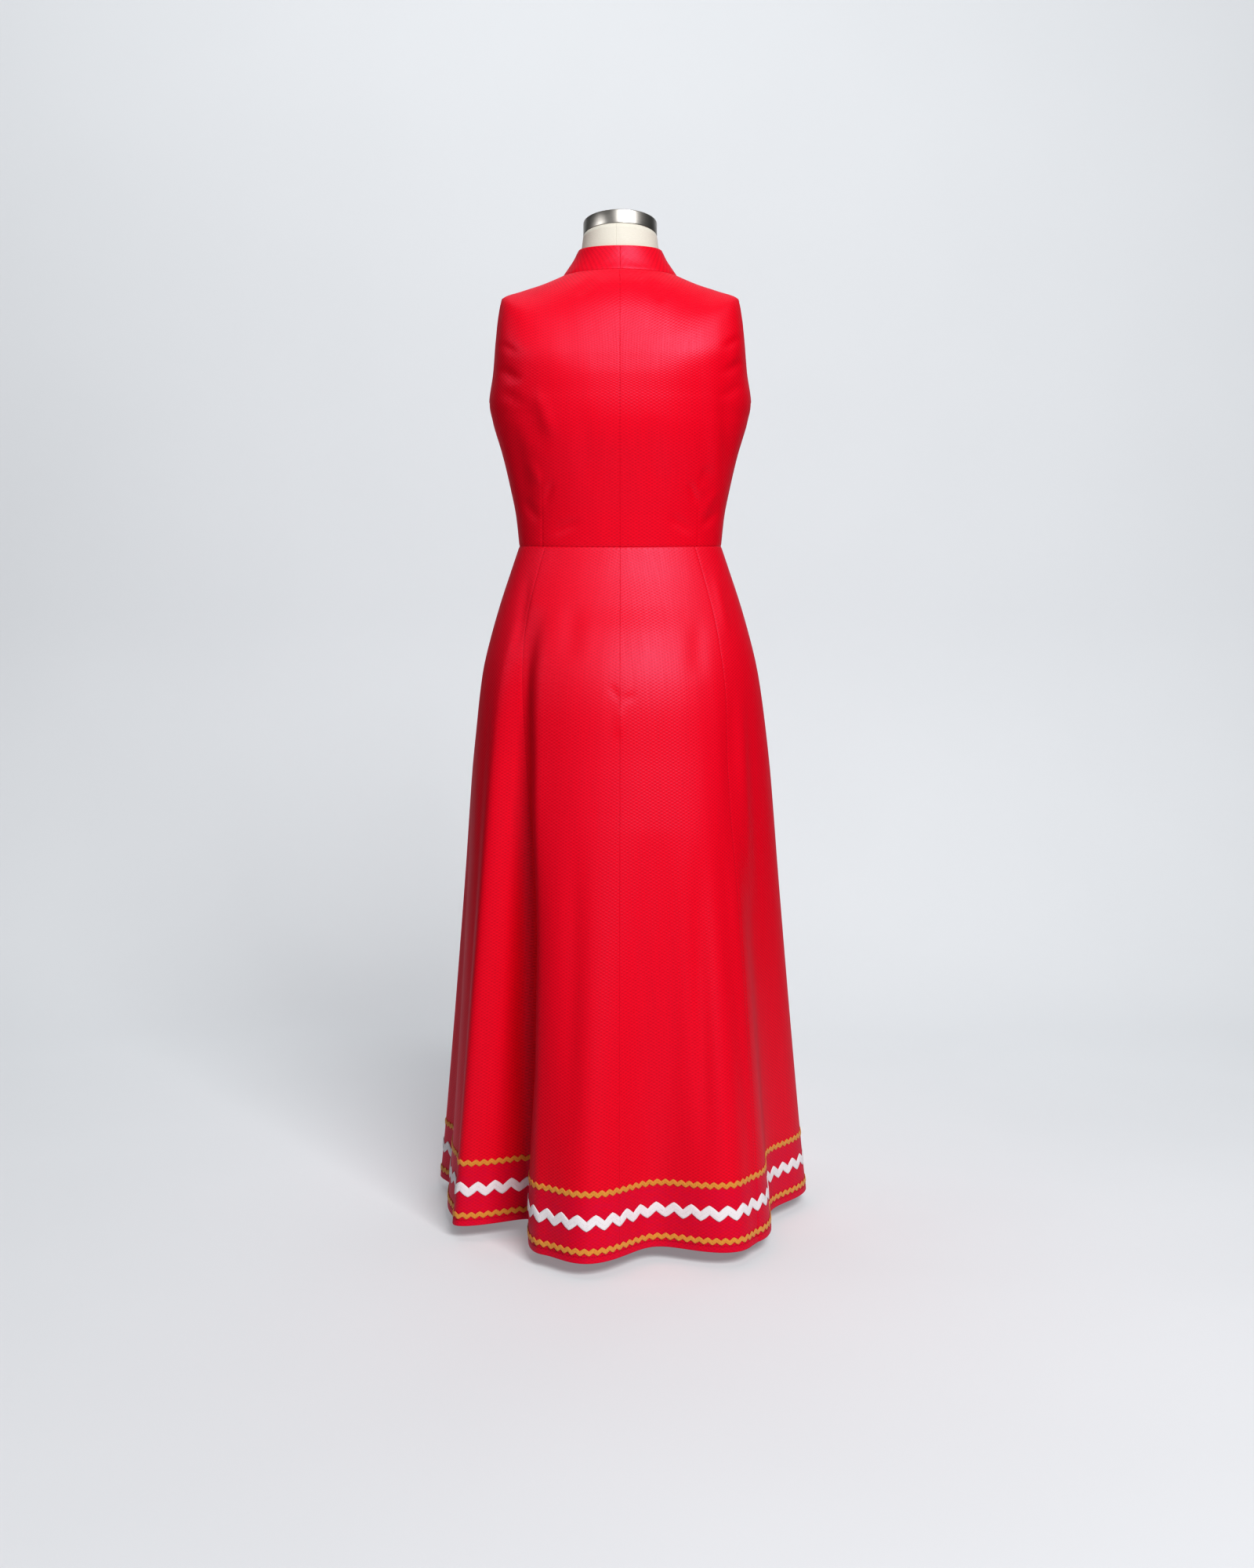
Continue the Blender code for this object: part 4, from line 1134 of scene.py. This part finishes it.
def make_braid_yarn(name, light, dark, roughness, rib):
    """Braided yarn: slanting ribs that meet in the middle, with painted shade between them, dull
    or silky.
    """
    material, tree, shader = new_material(name)
    uv = node(tree, "ShaderNodeUVMap", uv_map="UVMap")
    parts = node(tree, "ShaderNodeSeparateXYZ", [uv])
    slant = node(tree, "ShaderNodeMath", [parts.outputs["Y"]], operation="ABSOLUTE")
    ribs = []
    for way in (1.0, -1.0):
        along = (slant, way, parts.outputs["X"])
        along = node(tree, "ShaderNodeMath", along, operation="MULTIPLY_ADD")
        turn = node(tree, "ShaderNodeMath", (along, math.tau / rib), operation="MULTIPLY")
        wave = node(tree, "ShaderNodeMath", [turn], operation="SINE")
        ribs.append(node(tree, "ShaderNodeMath", (wave, 0.5, 0.5), operation="MULTIPLY_ADD"))
    knots = node(tree, "ShaderNodeMath", ribs, operation="MAXIMUM")
    fuzz = noises(tree, {"fuzz": (uv, (0.0006, 0.0006, 1.0), 2.0)})["fuzz"]
    # The raised ribs take the light colour and the grooves between them keep the dark one, which
    # is painted shade between the ribs.
    layers = [(knots, 0.75, 0.0, light), (fuzz, 0.5, 0.2, light)]
    rough = (fuzz, 0.2, roughness)
    wired(tree, shader, {
        "Base Color": layered(tree, linear(dark), layers),
        "Roughness": node(tree, "ShaderNodeMath", rough, operation="MULTIPLY_ADD"),
        "Sheen Weight": 0.15,
        "Normal": embossed(tree, [(knots, 0.00045, 0.8), (fuzz, 0.00015, 0.5)]),
    })
    return material


def make_thread(name, light, dark):
    """Polyester sewing thread: two plies twisted round each other, with a slight shine."""
    material, tree, shader = new_material(name)
    place = node(tree, "ShaderNodeTexCoord").outputs["Object"]
    plies = noises(tree, {"plies": (place, (0.0006, 0.0006, 0.0006), 1.0)})["plies"]
    rough = (plies, 0.2, 0.45)
    wired(tree, shader, {
        "Base Color": layered(tree, linear(dark), [(plies, 1.0, 0.0, light)]),
        "Roughness": node(tree, "ShaderNodeMath", rough, operation="MULTIPLY_ADD"),
        "Normal": embossed(tree, [(plies, 0.0001, 0.6)]),
    })
    return material


def make_linen():
    """Unbleached linen stretched over the form: plain weave with thick and thin threads, dull,
    and one sewn seam down the centre back."""
    material, tree, shader = new_material("unbleached linen, plain weave")
    place = node(tree, "ShaderNodeTexCoord").outputs["Object"]
    uv = node(tree, "ShaderNodeUVMap", uv_map="UVMap")
    # Linen threads are about 0.5 mm apart: they are drawn 1 mm apart so that they show.
    weave = crossed_waves(tree, uv, 0.0010, 0.0010)
    slubs = noises(tree, {"slubs": (uv, (0.0040, 0.0009, 1.0), 2.0)})["slubs"]
    spots = node(tree, "ShaderNodeSeparateXYZ", [place])
    beside = (spots.outputs["X"], LINEN_SEAM_X)
    beside = node(tree, "ShaderNodeMath", beside, operation="SUBTRACT")
    beside = node(tree, "ShaderNodeMath", [beside], operation="ABSOLUTE")
    away = (beside, 1 / LINEN_SEAM_WIDTH)
    away = node(tree, "ShaderNodeMath", away, operation="MULTIPLY", use_clamp=True)
    seam = node(tree, "ShaderNodeMath", (1.0, away), operation="SUBTRACT")
    reliefs = [(weave, 0.0002, 0.35), (slubs, 0.0002, 0.4), (away, 0.0006, 0.4)]
    rough = (slubs, 0.15, 0.75)
    wired(tree, shader, {
        "Base Color": layered(tree, linear("#CDC8BB"), [
            (weave, 0.4, 0.0, "#E4E0D6"),
            (slubs, 0.8, 0.0, "#E4E0D6"),
            (seam, 0.18, 0.0, "#B9B09C"),
        ]),
        "Roughness": node(tree, "ShaderNodeMath", rough, operation="MULTIPLY_ADD"),
        "Sheen Weight": 0.1,
        "Normal": embossed(tree, reliefs),
    })
    return material


def make_steel():
    """Stainless steel, brushed round the part: fine scratches draw each reflection out into a
    tall streak, with faint smudges where hands have been."""
    material, tree, shader = new_material("stainless steel, brushed")
    uv = node(tree, "ShaderNodeUVMap", uv_map="UVMap")
    place = node(tree, "ShaderNodeTexCoord").outputs["Object"]
    # Brushing scratches are finer than 0.1 mm: they are drawn 0.35 mm wide so that they show.
    noise = noises(tree, {
        "scratches": (uv, (0.25, 0.00035, 1.0), 3.0),
        "smudges": (place, (0.03, 0.03, 0.03), 2.0),
    })
    scratches = noise["scratches"]
    rough = (noise["smudges"], 0.10, 0.25)
    rough = node(tree, "ShaderNodeMath", rough, operation="MULTIPLY_ADD")
    rough = (scratches, 0.08, rough)
    wired(tree, shader, {
        "Base Color": layered(tree, linear("#A29E99"), [(scratches, 1.0, 0.0, "#C6C3BE")]),
        "Metallic": 1.0,
        "Roughness": node(tree, "ShaderNodeMath", rough, operation="MULTIPLY_ADD"),
        "Anisotropic": 0.5,
        "Tangent": node(tree, "ShaderNodeTangent", direction_type="UV_MAP", uv_map="UVMap"),
        "Normal": embossed(tree, [(scratches, 0.00005, 0.3)]),
    })
    return material


def make_paper():
    """Matt studio paper, pale grey with a touch of blue, with a faint painted glow of its own
    that lightens the shadows on it.
    """
    material, tree, shader = new_material("studio paper, pale grey")
    place = node(tree, "ShaderNodeTexCoord").outputs["Object"]
    grain = noises(tree, {"grain": (place, (0.5, 0.5, 0.5), 2.0)})["grain"]
    wired(tree, shader, {
        "Base Color": layered(tree, linear("#BCBEC0"), [(grain, 1.0, 0.0, "#C1C3C5")]),
        "Roughness": 0.9,
        # Painted light: the paper glows faintly, though it is no lamp, so that the shadows cast
        # on it stay pale.
        "Emission Color": linear("#E6E9ED"),
        "Emission Strength": 0.255,
    })
    return material


def make_studio():
    """A floor that curves up into a backdrop: one roll of paper, 3.56 m wide."""
    profile = [(PAPER_FRONT_Y, 0.0), (0.0, 0.0)]
    for k in range(PAPER_STEPS + 1):
        angle = math.pi / 2 * k / PAPER_STEPS
        y = PAPER_WALL_Y - PAPER_RADIUS + PAPER_RADIUS * math.sin(angle)
        profile.append((y, PAPER_RADIUS - PAPER_RADIUS * math.cos(angle)))
    profile.append((PAPER_WALL_Y, PAPER_TOP_Z))
    vertices = [(x, y, z) for y, z in profile for x in (-PAPER_REACH, PAPER_REACH)]
    faces = [[2 * k, 2 * k + 1, 2 * k + 3, 2 * k + 2] for k in range(len(profile) - 1)]
    add_mesh("studio_floor_and_backdrop", vertices, faces, make_paper())


def softbox(name, place, target, width, height, power, spread=180):
    """An area light: power is in watts and spread in degrees."""
    data = bpy.data.lights.new(name, "AREA")
    data.shape = "RECTANGLE"
    data.size, data.size_y = width, height
    data.energy = power
    data.spread = math.radians(spread)
    lamp = add_object(name, data)
    lamp.location = place
    lamp.rotation_euler = (Vector(target) - Vector(place)).to_track_quat("-Z", "Y").to_euler()


def make_lights():
    softbox("key, right of the camera", (1.35, -3.4, 3.5), (0, 0, 0.85), 2.1, 2.0, 163)
    softbox("fill, left and high", (-2.6, -1.2, 2.2), (0, 0, 1.45), 1.2, 1.1, 1.2, 45)
    wash_foot = (-0.6, PAPER_WALL_Y, 0.4)
    softbox("backdrop wash", (-0.75, 0.5, 4.0), wash_foot, 3.4, 0.6, 11.5, 110)
    world = bpy.data.worlds.new("studio air")
    world.use_nodes = True
    air = {"Color": linear("#E4EAF0"), "Strength": 0.05}
    wired(world.node_tree, world.node_tree.nodes["Background"], air)
    bpy.context.scene.world = world


def make_camera():
    data = bpy.data.cameras.new("camera")
    data.lens = CAMERA_LENS
    data.sensor_width = 36
    camera = add_object("camera", data)
    camera.location = CAMERA_PLACE
    camera.rotation_euler = (CAMERA_PITCH, 0, 0)
    scene = bpy.context.scene
    scene.camera = camera
    scene.view_settings.view_transform = "Standard"
    scene.view_settings.look = "High Contrast"


def main():
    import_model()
    satin = make_satin()
    make_bodice(satin)
    make_collar(satin)
    make_skirt(satin)
    band = HemBand()
    # Each braid's yarn has a light colour for its ribs and a dark one, which is the painted shade
    # between the ribs.
    yarns = {
        "white_braid": ("ric-rac braid, white cotton", "#FFFBFC", "#E6DCE2", 0.65, 0.0016),
        "gold_braid": ("ric-rac braid, gold rayon", "#FFBC54", "#C4742A", 0.42, 0.0012),
    }
    threads = {
        "white_braid": ("sewing thread, white", "#F4EFF0", "#CFC6CA"),
        "gold_braid": ("sewing thread, gold", "#E9A040", "#A86A20"),
    }
    yarns = {slot: make_braid_yarn(*values) for slot, values in yarns.items()}
    threads = {slot: make_thread(*values) for slot, values in threads.items()}
    for name, sizes in BRAIDS.items():
        slot = sizes[-1]
        make_braid(name, band, yarns[slot], threads[slot], sizes)
    make_hem_stitches(band, make_thread("sewing thread, red", "#C80A22", "#7C0412"))
    make_form_torso(make_linen())
    make_steel_parts(make_steel())
    make_studio()
    make_lights()
    make_camera()


main()
